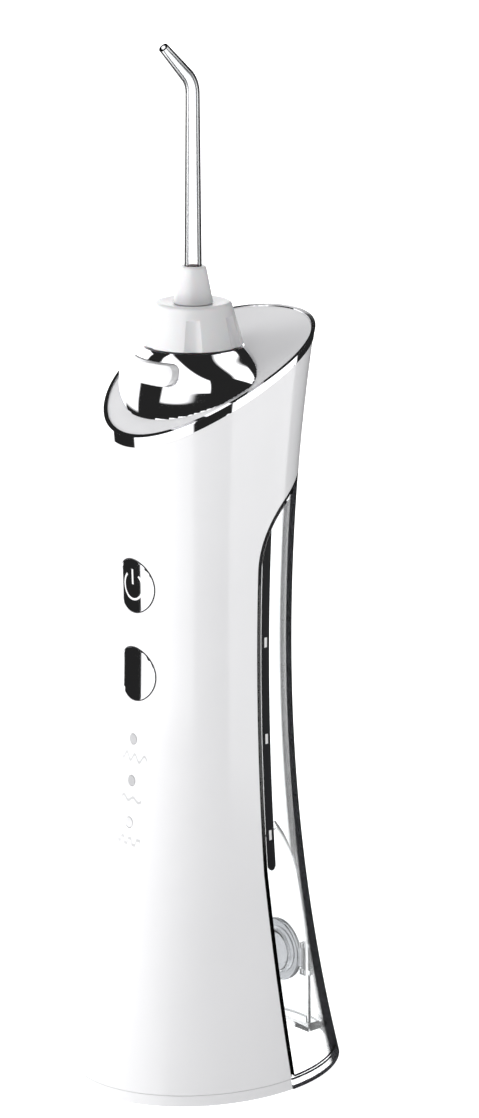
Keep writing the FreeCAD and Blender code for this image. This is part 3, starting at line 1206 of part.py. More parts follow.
# ---------------------------------------------------------------- all nodes
def nodes():
    """Every node's name and solid."""
    return {
        "handle_shell": handle_shell(),
        "rear_partition": rear_partition(),
        "base_cap": base_cap(),
        "base_screws": base_screws(),
        "trim_ring": trim_ring(),
        "top_deck": top_deck(),
        "nozzle_collar": nozzle_collar(),
        "nozzle_knob": nozzle_knob(),
        "nozzle_cone": nozzle_cone(),
        "nozzle_tube": nozzle_tube(),
        "nozzle_o_ring": nozzle_o_ring(),
        "nozzle_socket": nozzle_socket(),
        "socket_screws": socket_screws(),
        "head_plate": head_plate(),
        "release_button": release_button(),
        "release_latch": release_latch(),
        "release_spring": release_spring(),
        "power_button": push_button(POWER_Z),
        "mode_button": push_button(MODE_Z),
        "button_gaskets": button_gaskets(),
        "light_pipes": light_pipes(),
        "lamp_leds": lamp_leds(),
        "control_board": control_board(),
        "tact_switches": tact_switches(),
        "control_chip": control_chip(),
        "battery_cell": battery_cell(),
        "battery_clips": battery_clips(),
        "motor_case": motor_case(),
        "motor_end_cap": motor_end_cap(),
        "motor_rotor": motor_rotor(),
        "motor_magnets": motor_magnets(),
        "motor_cradle": motor_cradle(),
        "drive_pinion": drive_pinion(),
        "crank_gear": crank_gear(),
        "gear_axle": gear_axle(),
        "drive_frame": drive_frame(),
        "connecting_rod": connecting_rod(),
        "piston": piston(),
        "wrist_pin": wrist_pin(),
        "piston_seal": piston_seal(),
        "pump_body": pump_body(),
        "pump_head": pump_head(),
        "inlet_valve_ball": valve_ball(-VALVE_X, INLET_SEAT_Z),
        "outlet_valve_ball": valve_ball(VALVE_X, OUTLET_SEAT_Z),
        "inlet_valve_spring": valve_spring(-VALVE_X, INLET_SEAT_Z),
        "outlet_valve_spring": valve_spring(VALVE_X, OUTLET_SEAT_Z),
        "suction_hose": suction_hose(),
        "pressure_hose": pressure_hose(),
        "tank_shell": tank_shell(),
        "tank_front": tank_front(),
        "level_strips": level_strips(),
        "level_ticks": level_ticks(),
        "tank_grommet": tank_grommet(),
        "fill_cap": fill_cap(),
        "cap_hinge_pin": cap_hinge_pin(),
        "cap_lugs": cap_lugs(),
        "charge_flap": charge_flap(),
        "charge_tray": charge_tray(),
        "charge_socket": charge_socket(),
        "charge_board": charge_board(),
    }


os.makedirs("parts", exist_ok=True)
for name, shape in nodes().items():
    shape.exportStep(f"parts/{name}.step")
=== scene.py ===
"""Looks of a cordless water flosser, built around its fixed frame, in metres."""

import json
import logging
import math
from dataclasses import dataclass, field
from enum import Enum
from typing import Callable, Iterable, Sequence

import bpy
from bpy.types import Material, Node, NodeSocket, NodeTree, Object
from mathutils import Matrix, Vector


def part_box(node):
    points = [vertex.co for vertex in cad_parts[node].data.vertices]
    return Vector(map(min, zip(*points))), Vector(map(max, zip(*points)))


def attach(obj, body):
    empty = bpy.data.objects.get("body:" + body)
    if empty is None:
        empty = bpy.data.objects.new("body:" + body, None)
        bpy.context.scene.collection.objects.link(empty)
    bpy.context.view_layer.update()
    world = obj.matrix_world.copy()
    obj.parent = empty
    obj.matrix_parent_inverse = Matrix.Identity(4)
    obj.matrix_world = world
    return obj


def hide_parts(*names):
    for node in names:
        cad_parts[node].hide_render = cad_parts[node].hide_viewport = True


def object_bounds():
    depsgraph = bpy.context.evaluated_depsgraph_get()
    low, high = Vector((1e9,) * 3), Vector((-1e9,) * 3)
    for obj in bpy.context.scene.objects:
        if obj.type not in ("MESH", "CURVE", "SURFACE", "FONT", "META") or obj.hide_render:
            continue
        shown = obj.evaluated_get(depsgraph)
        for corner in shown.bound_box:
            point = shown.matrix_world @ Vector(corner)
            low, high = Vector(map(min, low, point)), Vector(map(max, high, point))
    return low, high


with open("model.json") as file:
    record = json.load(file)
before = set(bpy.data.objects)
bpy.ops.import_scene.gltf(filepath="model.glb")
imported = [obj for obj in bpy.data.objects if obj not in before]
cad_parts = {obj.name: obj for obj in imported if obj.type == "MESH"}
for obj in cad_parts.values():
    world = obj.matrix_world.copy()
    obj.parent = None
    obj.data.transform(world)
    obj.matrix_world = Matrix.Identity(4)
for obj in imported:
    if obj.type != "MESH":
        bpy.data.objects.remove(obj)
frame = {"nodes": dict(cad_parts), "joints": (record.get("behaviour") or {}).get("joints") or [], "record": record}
CAD_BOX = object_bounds()

LOG = logging.getLogger("water_flosser")
MM = 0.001
FAR = 90 * MM  # longer than any half size of the object
SMOOTH_ANGLE = math.radians(32)

SPARE = 2 * MM  # how far a cutting solid reaches past what it cuts
COINCIDENT = 1e-6  # points closer than this are one point

Colour = tuple[float, float, float, float]


# ---------------------------------------------------------------- workshop
class Cut(Enum):
    """How one solid works on another."""

    KEEP_COMMON = "INTERSECT"
    TAKE_AWAY = "DIFFERENCE"
    JOIN = "UNION"


def deselect_all() -> None:
    """Goes back to object mode with nothing selected."""
    if bpy.context.mode != "OBJECT":
        bpy.ops.object.mode_set(mode="OBJECT")
    bpy.ops.object.select_all(action="DESELECT")


def work_on(piece: Object) -> None:
    """Makes one piece the only selected one.

    Args:
        piece: The piece to select.
    """
    deselect_all()
    piece.select_set(True)
    bpy.context.view_layer.objects.active = piece


def edit_all(piece: Object) -> None:
    """Opens a piece for editing with all of it selected.

    Args:
        piece: The piece to open.
    """
    work_on(piece)
    bpy.ops.object.mode_set(mode="EDIT")
    bpy.ops.mesh.select_mode(type="VERT")
    bpy.ops.mesh.select_all(action="SELECT")


def settle(piece: Object, name: str) -> Object:
    """Names a piece and puts its place into its mesh.

    Args:
        piece: The piece.
        name: Its name.

    Returns:
        The same piece, with its object at the origin.
    """
    work_on(piece)
    bpy.ops.object.transform_apply(location=True, rotation=True, scale=True)
    piece.name = name
    piece.data.name = name
    return piece


def face_outwards(piece: Object) -> Object:
    """Merges doubled points and turns all faces outwards.

    Args:
        piece: A closed piece.

    Returns:
        The same piece.
    """
    edit_all(piece)
    bpy.ops.mesh.remove_doubles(threshold=COINCIDENT)
    bpy.ops.mesh.normals_make_consistent(inside=False)
    bpy.ops.object.mode_set(mode="OBJECT")
    return piece


@dataclass(frozen=True)
class Ring:
    """One elliptical ring of a stacked form.

    Args:
        z: Its height.
        wide: Half its width in X.
        deep: Half its depth in Y.
        y: Its centre in Y.
    """

    z: float
    wide: float
    deep: float
    y: float = 0.0

    def centre(self) -> Vector:
        """The ring's centre."""
        return Vector((0.0, self.y, self.z))


def stack(name: str, rings: Sequence[Ring], segments: int = 128, filled: bool = True) -> Object:
    """Draws a form up through rings by extruding and resizing one circle.

    Args:
        name: The piece's name.
        rings: The rings, from the first to the last.
        segments: Points on each ring.
        filled: Whether the ends are closed.

    Returns:
        The form, with its object at the origin.
    """
    deselect_all()
    first = rings[0]
    fill = "NGON" if filled else "NOTHING"
    bpy.ops.mesh.primitive_circle_add(vertices=segments, radius=1.0, fill_type=fill)
    piece = bpy.context.object
    edit_all(piece)
    bpy.ops.transform.resize(value=(first.wide, first.deep, 1.0), center_override=(0, 0, 0))
    bpy.ops.transform.translate(value=first.centre())
    for before, after in zip(rings, rings[1:]):
        step = after.centre() - before.centre()
        bpy.ops.mesh.extrude_region_move(TRANSFORM_OT_translate={"value": step})
        grow = (after.wide / before.wide, after.deep / before.deep, 1.0)
        bpy.ops.transform.resize(value=grow, center_override=after.centre())
    bpy.ops.object.mode_set(mode="OBJECT")
    settle(piece, name)
    return face_outwards(piece) if filled else piece


def block(name: str, low: Sequence[float], high: Sequence[float]) -> Object:
    """A box between two corners, for cutting and for small parts.

    Args:
        name: The piece's name.
        low: Its lowest corner.
        high: Its highest corner.

    Returns:
        The box.
    """
    deselect_all()
    low, high = Vector(low), Vector(high)
    bpy.ops.mesh.primitive_cube_add(size=1.0, location=(low + high) / 2, scale=high - low)
    return settle(bpy.context.object, name)


def rod(
    name: str,
    start: Sequence[float],
    end: Sequence[float],
    radius: float,
    tip: float = 0.0,
    sides: int = 96,
) -> Object:
    """A round bar or cone between two points.

    Args:
        name: The piece's name.
        start: The centre of its first end.
        end: The centre of its other end.
        radius: Its radius at the start.
        tip: Its radius at the end, or 0 for the same.
        sides: Points round it.

    Returns:
        The bar.
    """
    deselect_all()
    start, end = Vector(start), Vector(end)
    turn = (end - start).to_track_quat("Z", "Y").to_euler()
    bpy.ops.mesh.primitive_cone_add(
        vertices=sides,
        radius1=radius,
        radius2=tip or radius,
        depth=(end - start).length,
        location=(start + end) / 2,
        rotation=turn,
    )
    return settle(bpy.context.object, name)


def plate(name: str, outline: Sequence[Vector], push: Sequence[float]) -> Object:
    """A flat outline pushed out along one direction.

    Args:
        name: The piece's name.
        outline: The outline's corners, in order.
        push: How far and which way it is extruded.

    Returns:
        The closed plate.
    """
    deselect_all()
    bpy.ops.mesh.primitive_plane_add(size=MM, location=outline[0])
    piece = bpy.context.object
    settle(piece, name)
    edit_all(piece)
    bpy.ops.mesh.merge(type="CENTER")
    for before, after in zip(outline, outline[1:]):
        bpy.ops.mesh.extrude_region_move(TRANSFORM_OT_translate={"value": after - before})
    bpy.ops.mesh.select_all(action="SELECT")
    bpy.ops.mesh.edge_face_add()
    bpy.ops.mesh.extrude_region_move(TRANSFORM_OT_translate={"value": push})
    bpy.ops.object.mode_set(mode="OBJECT")
    return face_outwards(piece)


def work(piece: Object, how: Cut, *tools: Object) -> Object:
    """Cuts, keeps or joins with other solids, which are used up.

    Args:
        piece: The piece that is worked on.
        how: What the tools do to it.
        tools: The other solids.

    Returns:
        The piece.
    """
    for tool in tools:
        work_on(piece)
        modifier = piece.modifiers.new("work", "BOOLEAN")
        modifier.operation = how.value
        modifier.solver = "EXACT"
        modifier.object = tool
        bpy.ops.object.modifier_apply(modifier=modifier.name)
        bpy.data.objects.remove(tool)
    return piece


def soften(piece: Object, width: float, segments: int = 2, angle: float = 40.0) -> Object:
    """Rounds the sharp edges.

    Args:
        piece: The piece.
        width: How far the rounding reaches.
        segments: Faces across it.
        angle: Edges sharper than this many degrees are rounded.

    Returns:
        The piece.
    """
    work_on(piece)
    modifier = piece.modifiers.new("soften", "BEVEL")
    modifier.width = width
    modifier.segments = segments
    modifier.limit_method = "ANGLE"
    modifier.angle_limit = math.radians(angle)
    modifier.use_clamp_overlap = True
    bpy.ops.object.modifier_apply(modifier=modifier.name)
    return piece


def smooth(piece: Object) -> Object:
    """Shades a piece smooth, with its sharp edges kept.

    Args:
        piece: The piece.

    Returns:
        The piece.
    """
    work_on(piece)
    bpy.ops.object.shade_smooth_by_angle(angle=SMOOTH_ANGLE)
    modifier = piece.modifiers.new("even_normals", "WEIGHTED_NORMAL")
    modifier.keep_sharp = True
    bpy.ops.object.modifier_apply(modifier=modifier.name)
    return piece


def copied(piece: Object, name: str, step: Sequence[float]) -> Object:
    """Copies a piece, with a mesh of its own, and moves the copy.

    Args:
        piece: The piece.
        name: The copy's name.
        step: How far the copy is moved.

    Returns:
        The copy.
    """
    work_on(piece)
    bpy.ops.object.duplicate(linked=False)
    twin = bpy.context.object
    twin.location = step
    return settle(twin, name)


def hand_over(piece: Object, finish: "Finish", body: str, slot: str, *nodes: str) -> Object:
    """Dresses a finished piece and makes it ride on its body.

    Args:
        piece: The piece.
        finish: Its finish.
        body: The body that it rides on.
        slot: The record's material slot; not used.
        nodes: The frame's nodes that it stands for.

    Returns:
        The piece.
    """
    piece.data.materials.clear()
    piece.data.materials.append(finish.material())
    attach(piece, body)
    if nodes:
        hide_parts(*nodes)
    LOG.info("%s rides on %s in %s, %d faces", piece.name, body, finish.name, len(piece.data.polygons))
    return piece


# ---------------------------------------------------------------- finishes
MIX_FIRST, MIX_SECOND, MIX_RESULT = 6, 7, 2  # a mix node's colour sockets
SCATTER_DEPTH = 1.5 * MM
GRAIN_STRENGTH = 0.5
DRIFT_FROM, DRIFT_TO = 0.3, 0.6  # noise values between which the colour drifts
# painted edge shade: the near-black colour painted on clear plastic seen edge on, in place of dark reflections
PAINTED_EDGE_SHADE: Colour = (0.0008, 0.0008, 0.001, 1.0)
SHADE_LEVEL_FROM, SHADE_UPRIGHT_TO = 0.96, 0.75  # a normal's Z: the painted edge shade spares level faces and falls on upright ones
SHADE_LINE_REACH = 10 * MM  # the height that the painted shade lines' places are shares of
PAINTED_SHADE_LINES = ((0.0, 0.11), (0.26, 0.32))  # where each painted shade line starts and ends
BLACK: Colour = (0, 0, 0, 1)
WHITE: Colour = (1, 1, 1, 1)


@dataclass(frozen=True)
class Finish:
    """A surface finish with a fine grain on object coordinates.

    Args:
        name: The material's name.
        colour: Its main colour.
        shade: The colour that it drifts towards.
        roughness: Its mean roughness.
        spread: How far the roughness varies.
        grain: Size of the fine grain, as a noise scale per metre.
        drift: Size of the slow colour drift, as a noise scale per metre.
        bump: Height of the grain in metres.
        metallic: 1 for metal.
        coat: Weight of a clear coat.
        transmission: 1 for clear plastic.
        ior: Index of refraction.
        glow: Strength of its own light.
        subsurface: Weight of light that passes under the surface.
        edge: How dark clear plastic is painted where it is seen edge on, from 0 to 1: painted edge shade in place
            of dark reflections.
        edge_shade_start: How far the surface leans away, from 0 to 1, where that begins.
        edge_shade_reach: How much further it leans where it is darkest.
        foot: Whether two dark lines of painted shade run along the bottom edge, where thick clear plastic looks
            dark.
    """

    name: str
    colour: tuple[float, float, float]
    shade: tuple[float, float, float]
    roughness: float = 0.3
    spread: float = 0.04
    grain: float = 2500.0
    drift: float = 30.0
    bump: float = 0.00001
    metallic: float = 0.0
    coat: float = 0.0
    transmission: float = 0.0
    ior: float = 1.49
    glow: float = 0.0
    subsurface: float = 0.0
    # the next four fields paint shade on clear plastic: at its edges, and in two lines along its bottom
    edge: float = 0.0
    edge_shade_start: float = 0.6
    edge_shade_reach: float = 0.25
    foot: bool = False

    def material(self) -> Material:
        """The finish as a material, made once.

        Returns:
            The material.
        """
        title = self.name + "_finish"
        ready = bpy.data.materials.get(title)
        if ready:
            return ready
        made = bpy.data.materials.new(title)
        made.use_nodes = True
        tree = made.node_tree
        shader = tree.nodes["Principled BSDF"]
        shader.inputs["Metallic"].default_value = self.metallic
        shader.inputs["Coat Weight"].default_value = self.coat
        shader.inputs["Transmission Weight"].default_value = self.transmission
        shader.inputs["IOR"].default_value = self.ior
        shader.inputs["Subsurface Weight"].default_value = self.subsurface
        shader.inputs["Subsurface Scale"].default_value = SCATTER_DEPTH
        shader.inputs["Emission Strength"].default_value = self.glow
        shader.inputs["Emission Color"].default_value = (*self.colour, 1.0)
        self.paint(tree, shader)
        return made

    def noise(self, tree: NodeTree, scale: float, detail: float) -> Node:
        """A noise on object coordinates.

        Args:
            tree: The material's nodes.
            scale: Its scale per metre.
            detail: Its detail.

        Returns:
            The noise node.
        """
        place = tree.nodes.new("ShaderNodeTexCoord")
        made = tree.nodes.new("ShaderNodeTexNoise")
        made.inputs["Scale"].default_value = scale
        made.inputs["Detail"].default_value = detail
        tree.links.new(place.outputs["Object"], made.inputs["Vector"])
        return made

    def paint(self, tree: NodeTree, shader: Node) -> None:
        """Links colour, roughness and bump to the noises.

        Args:
            tree: The material's nodes.
            shader: Its shader.
        """
        slow = self.noise(tree, self.drift, 3.0)
        fine = self.noise(tree, self.grain, 4.0)
        ramp = tree.nodes.new("ShaderNodeValToRGB")
        ramp.color_ramp.elements[0].position = DRIFT_FROM
        ramp.color_ramp.elements[0].color = (*self.shade, 1.0)
        ramp.color_ramp.elements[1].position = DRIFT_TO
        ramp.color_ramp.elements[1].color = (*self.colour, 1.0)
        tree.links.new(slow.outputs["Fac"], ramp.inputs["Fac"])
        self.link_colour_and_edge_shade(tree, ramp.outputs["Color"], shader)
        rough = tree.nodes.new("ShaderNodeMapRange")
        rough.inputs["To Min"].default_value = max(0.0, self.roughness - self.spread)
        rough.inputs["To Max"].default_value = self.roughness + self.spread
        tree.links.new(fine.outputs["Fac"], rough.inputs["Value"])
        tree.links.new(rough.outputs["Result"], shader.inputs["Roughness"])
        if self.bump:
            raised = tree.nodes.new("ShaderNodeBump")
            raised.inputs["Distance"].default_value = self.bump
            raised.inputs["Strength"].default_value = GRAIN_STRENGTH
            tree.links.new(fine.outputs["Fac"], raised.inputs["Height"])
            tree.links.new(raised.outputs["Normal"], shader.inputs["Normal"])

    def link_colour_and_edge_shade(self, tree: NodeTree, colour: NodeSocket, shader: Node) -> None:
        """Links the colour, with painted edge shade where clear plastic is seen edge on.

        Args:
            tree: The material's nodes.
            colour: The colour to link.
            shader: The material's shader.
        """
        if not self.edge:
            tree.links.new(colour, shader.inputs["Base Color"])
            return
        # painted edge shade: the colour turns near black as the surface leans away from the eye, on upright faces
        # only
        facing = tree.nodes.new("ShaderNodeLayerWeight")
        facing.inputs["Blend"].default_value = 0.5
        dark = tree.nodes.new("ShaderNodeMapRange")
        dark.interpolation_type = "SMOOTHSTEP"
        dark.inputs["From Min"].default_value = self.edge_shade_start
        dark.inputs["From Max"].default_value = min(1.0, self.edge_shade_start + self.edge_shade_reach)
        dark.inputs["To Max"].default_value = self.edge
        mix = tree.nodes.new("ShaderNodeMix")
        mix.data_type = "RGBA"
        mix.inputs[MIX_SECOND].default_value = PAINTED_EDGE_SHADE
        place = tree.nodes.new("ShaderNodeTexCoord")
        parts = tree.nodes.new("ShaderNodeSeparateXYZ")
        level = tree.nodes.new("ShaderNodeMath")
        level.operation = "ABSOLUTE"
        upright_shade_mask = tree.nodes.new("ShaderNodeMapRange")
        upright_shade_mask.inputs["From Min"].default_value = SHADE_LEVEL_FROM
        upright_shade_mask.inputs["From Max"].default_value = SHADE_UPRIGHT_TO
        both = tree.nodes.new("ShaderNodeMath")
        both.operation = "MULTIPLY"
        tree.links.new(place.outputs["Normal"], parts.inputs["Vector"])
        tree.links.new(parts.outputs["Z"], level.inputs[0])
        tree.links.new(level.outputs[0], upright_shade_mask.inputs["Value"])
        tree.links.new(facing.outputs["Facing"], dark.inputs["Value"])
        painted_shade = dark.outputs["Result"]
        if self.foot:
            painted_shade = self.painted_shade_lines(tree, painted_shade)
        tree.links.new(painted_shade, both.inputs[0])
        tree.links.new(upright_shade_mask.outputs["Result"], both.inputs[1])
        tree.links.new(both.outputs[0], mix.inputs["Factor"])
        tree.links.new(colour, mix.inputs[MIX_FIRST])
        tree.links.new(mix.outputs[MIX_RESULT], shader.inputs["Base Color"])

    @staticmethod
    def painted_shade_lines(tree: NodeTree, dark: NodeSocket) -> NodeSocket:
        """Adds two dark lines of painted shade along the bottom edge of thick clear plastic.

        Args:
            tree: The material's nodes.
            dark: How dark it is already.

        Returns:
            How dark it is with the painted shade lines.
        """
        # painted shade: two dark bands by height in object coordinates, low on the piece
        place = tree.nodes.new("ShaderNodeTexCoord")
        parts = tree.nodes.new("ShaderNodeSeparateXYZ")
        tree.links.new(place.outputs["Object"], parts.inputs["Vector"])
        share = tree.nodes.new("ShaderNodeMapRange")
        share.inputs["From Max"].default_value = SHADE_LINE_REACH
        tree.links.new(parts.outputs["Z"], share.inputs["Value"])
        lines = tree.nodes.new("ShaderNodeValToRGB")
        lines.color_ramp.interpolation = "CONSTANT"
        (_, lower_end), (upper_start, upper_end) = PAINTED_SHADE_LINES
        lines.color_ramp.elements[0].color = WHITE
        lines.color_ramp.elements[1].position = lower_end
        lines.color_ramp.elements[1].color = BLACK
        lines.color_ramp.elements.new(upper_start).color = WHITE
        lines.color_ramp.elements.new(upper_end).color = BLACK
        tree.links.new(share.outputs["Result"], lines.inputs["Fac"])
        most = tree.nodes.new("ShaderNodeMath")
        most.operation = "MAXIMUM"
        tree.links.new(dark, most.inputs[0])
        tree.links.new(lines.outputs["Color"], most.inputs[1])
        return most.outputs[0]


@dataclass(frozen=True)
class DrawnMetal(Finish):
    """A metal with fine lines along Z from drawing or turning."""

    def noise(self, tree: NodeTree, scale: float, detail: float) -> Node:
        """A noise stretched along Z.

        Args:
            tree: The material's nodes.
            scale: Its scale per metre.
            detail: Its detail.

        Returns:
            The noise node.
        """
        made = super().noise(tree, scale, detail)
        stretch = tree.nodes.new("ShaderNodeMapping")
        stretch.inputs["Scale"].default_value = (1.0, 1.0, 0.08)
        source = made.inputs["Vector"].links[0].from_socket
        tree.links.new(source, stretch.inputs["Vector"])
        tree.links.new(stretch.outputs["Vector"], made.inputs["Vector"])
        return made


class Finishes:
    """Every finish of the object."""

    WHITE_SHELL = Finish(
        "white_shell", (0.86, 0.86, 0.87), (0.84, 0.84, 0.85), 0.16, 0.03, bump=0.000004, coat=0.3,
    )
    WHITE_BASE = Finish("white_base", (0.85, 0.85, 0.86), (0.83, 0.83, 0.84), 0.2, 0.03, bump=0.000004)
    WHITE_FRAME = Finish("white_frame", (0.80, 0.80, 0.81), (0.77, 0.77, 0.78), 0.45, 0.06, 1800.0)
    WHITE_KNOB = Finish(
        "white_knob", (0.84, 0.84, 0.85), (0.81, 0.81, 0.82), 0.24, 0.04, bump=0.000004,
        subsurface=0.15,
    )
    WHITE_PILL = Finish(
        "white_pill", (0.88, 0.88, 0.89), (0.86, 0.86, 0.87), 0.14, 0.02, bump=0.000003, coat=0.4,
    )
    WHITE_FLAP = Finish(
        "white_flap", (0.82, 0.82, 0.83), (0.79, 0.79, 0.80), 0.42, 0.06, 3200.0, bump=0.00002,
    )
    GREY_DECK = Finish(
        "grey_deck", (0.90, 0.90, 0.91), (0.87, 0.87, 0.88), 0.3, 0.03, bump=0.000003, coat=0.1,
    )
    CHROME_RING = Finish(
        "chrome_ring", (0.86, 0.86, 0.88), (0.82, 0.82, 0.84), 0.05, 0.02, bump=0.0, metallic=1.0,
    )
    CHROME_COLLAR = Finish(
        "chrome_collar", (0.88, 0.88, 0.90), (0.84, 0.84, 0.86), 0.04, 0.015, bump=0.0, metallic=1.0,
    )
    CHROME_BUTTON = Finish(
        "chrome_button", (0.86, 0.86, 0.88), (0.82, 0.82, 0.84), 0.07, 0.02, bump=0.0, metallic=1.0,
    )
    STEEL = DrawnMetal("steel", (0.60, 0.60, 0.62), (0.48, 0.48, 0.50), 0.3, 0.08, metallic=1.0)
    SPRING_STEEL = DrawnMetal(
        "spring_steel", (0.52, 0.52, 0.54), (0.42, 0.42, 0.44), 0.25, 0.06, metallic=1.0,
    )
    MOTOR_STEEL = DrawnMetal("motor_steel", (0.62, 0.62, 0.63), (0.54, 0.54, 0.56), 0.35, 0.08, metallic=1.0)
    MAGNET = Finish("magnet", (0.12, 0.12, 0.13), (0.08, 0.08, 0.09), 0.6, 0.1, 1500.0, bump=0.00003)
    BRASS = DrawnMetal("brass", (0.72, 0.52, 0.22), (0.62, 0.43, 0.16), 0.25, 0.06, metallic=1.0)
    RUBBER = Finish("rubber", (0.03, 0.03, 0.032), (0.02, 0.02, 0.022), 0.6, 0.1, 3500.0, bump=0.00003)
    BLACK_PLASTIC = Finish("black_plastic", (0.03, 0.03, 0.032), (0.02, 0.02, 0.022), 0.4, 0.08, 2200.0)
    GEAR_PLASTIC = Finish("gear_plastic", (0.74, 0.72, 0.66), (0.70, 0.68, 0.62), 0.35, 0.06, subsurface=0.2)
    BOARD = Finish("board", (0.02, 0.16, 0.07), (0.015, 0.12, 0.05), 0.3, 0.08, 1200.0, 400.0)
    CELL_SLEEVE = Finish("cell_sleeve", (0.04, 0.14, 0.42), (0.03, 0.11, 0.36), 0.25, 0.05)
    LED = Finish("led", (0.90, 0.86, 0.60), (0.84, 0.80, 0.55), 0.3, 0.05)
    LENS_ON = Finish("clear_lens", (0.54, 0.54, 0.55), (0.48, 0.48, 0.49), 0.2, 0.04, ior=1.5)
    LENS_OFF = Finish("lens_unlit", (0.74, 0.74, 0.75), (0.70, 0.70, 0.71), 0.2, 0.04, ior=1.5)
    PRINT_GREY = Finish("printed_grey", (0.60, 0.60, 0.61), (0.52, 0.52, 0.53), 0.5, 0.08, 5000.0)
    ICON = Finish("icon_white", (0.86, 0.86, 0.87), (0.80, 0.80, 0.81), 0.35, 0.05)
    # painted edge shade: near black where the tube is seen edge on
    CLEAR_TUBE = Finish(
        "clear_tube", (0.96, 0.97, 0.98), (0.94, 0.95, 0.96), 0.03, 0.015, bump=0.0, transmission=1.0,
        edge=1.0, edge_shade_start=0.20, edge_shade_reach=0.22,
    )
    # painted edge shade where the tank is seen edge on, and two painted shade lines along its bottom
    CLEAR_TANK = Finish(
        "clear_tank", (0.97, 0.98, 0.985), (0.95, 0.96, 0.97), 0.025, 0.012, bump=0.0, transmission=1.0,
        edge=1.0, edge_shade_start=0.57, edge_shade_reach=0.1, foot=True,
    )
    # painted edge shade: near black where the cap is seen edge on
    CLEAR_CAP = Finish(
        "clear_cap", (0.55, 0.56, 0.58), (0.47, 0.48, 0.50), 0.08, 0.03, bump=0.0, transmission=0.85,
        edge=1.0, edge_shade_start=0.40, edge_shade_reach=0.2,
    )
    HOSE = Finish("hose_silicone", (0.72, 0.72, 0.70), (0.66, 0.66, 0.64), 0.4, 0.06, subsurface=0.3)
    DARK_STRIP = Finish(
        "dark_strip", (0.012, 0.012, 0.014), (0.008, 0.008, 0.009), 0.2, 0.04, bump=0.0, ior=1.15,
    )
    WHITE_TICK = Finish("white_tick", (0.78, 0.78, 0.78), (0.70, 0.70, 0.70), 0.4, 0.06)
    FLOOR = Finish(
        "pale_floor", (0.90, 0.90, 0.90), (0.88, 0.88, 0.88), 0.22, 0.05, 60.0, 2.0, bump=0.0,
        glow=0.95,
    )


# ---------------------------------------------------------------- outline
def low(node: str) -> Vector:
    """Lowest corner of a node."""
    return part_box(node)[0]


def high(node: str) -> Vector:
    """Highest corner of a node."""
    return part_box(node)[1]


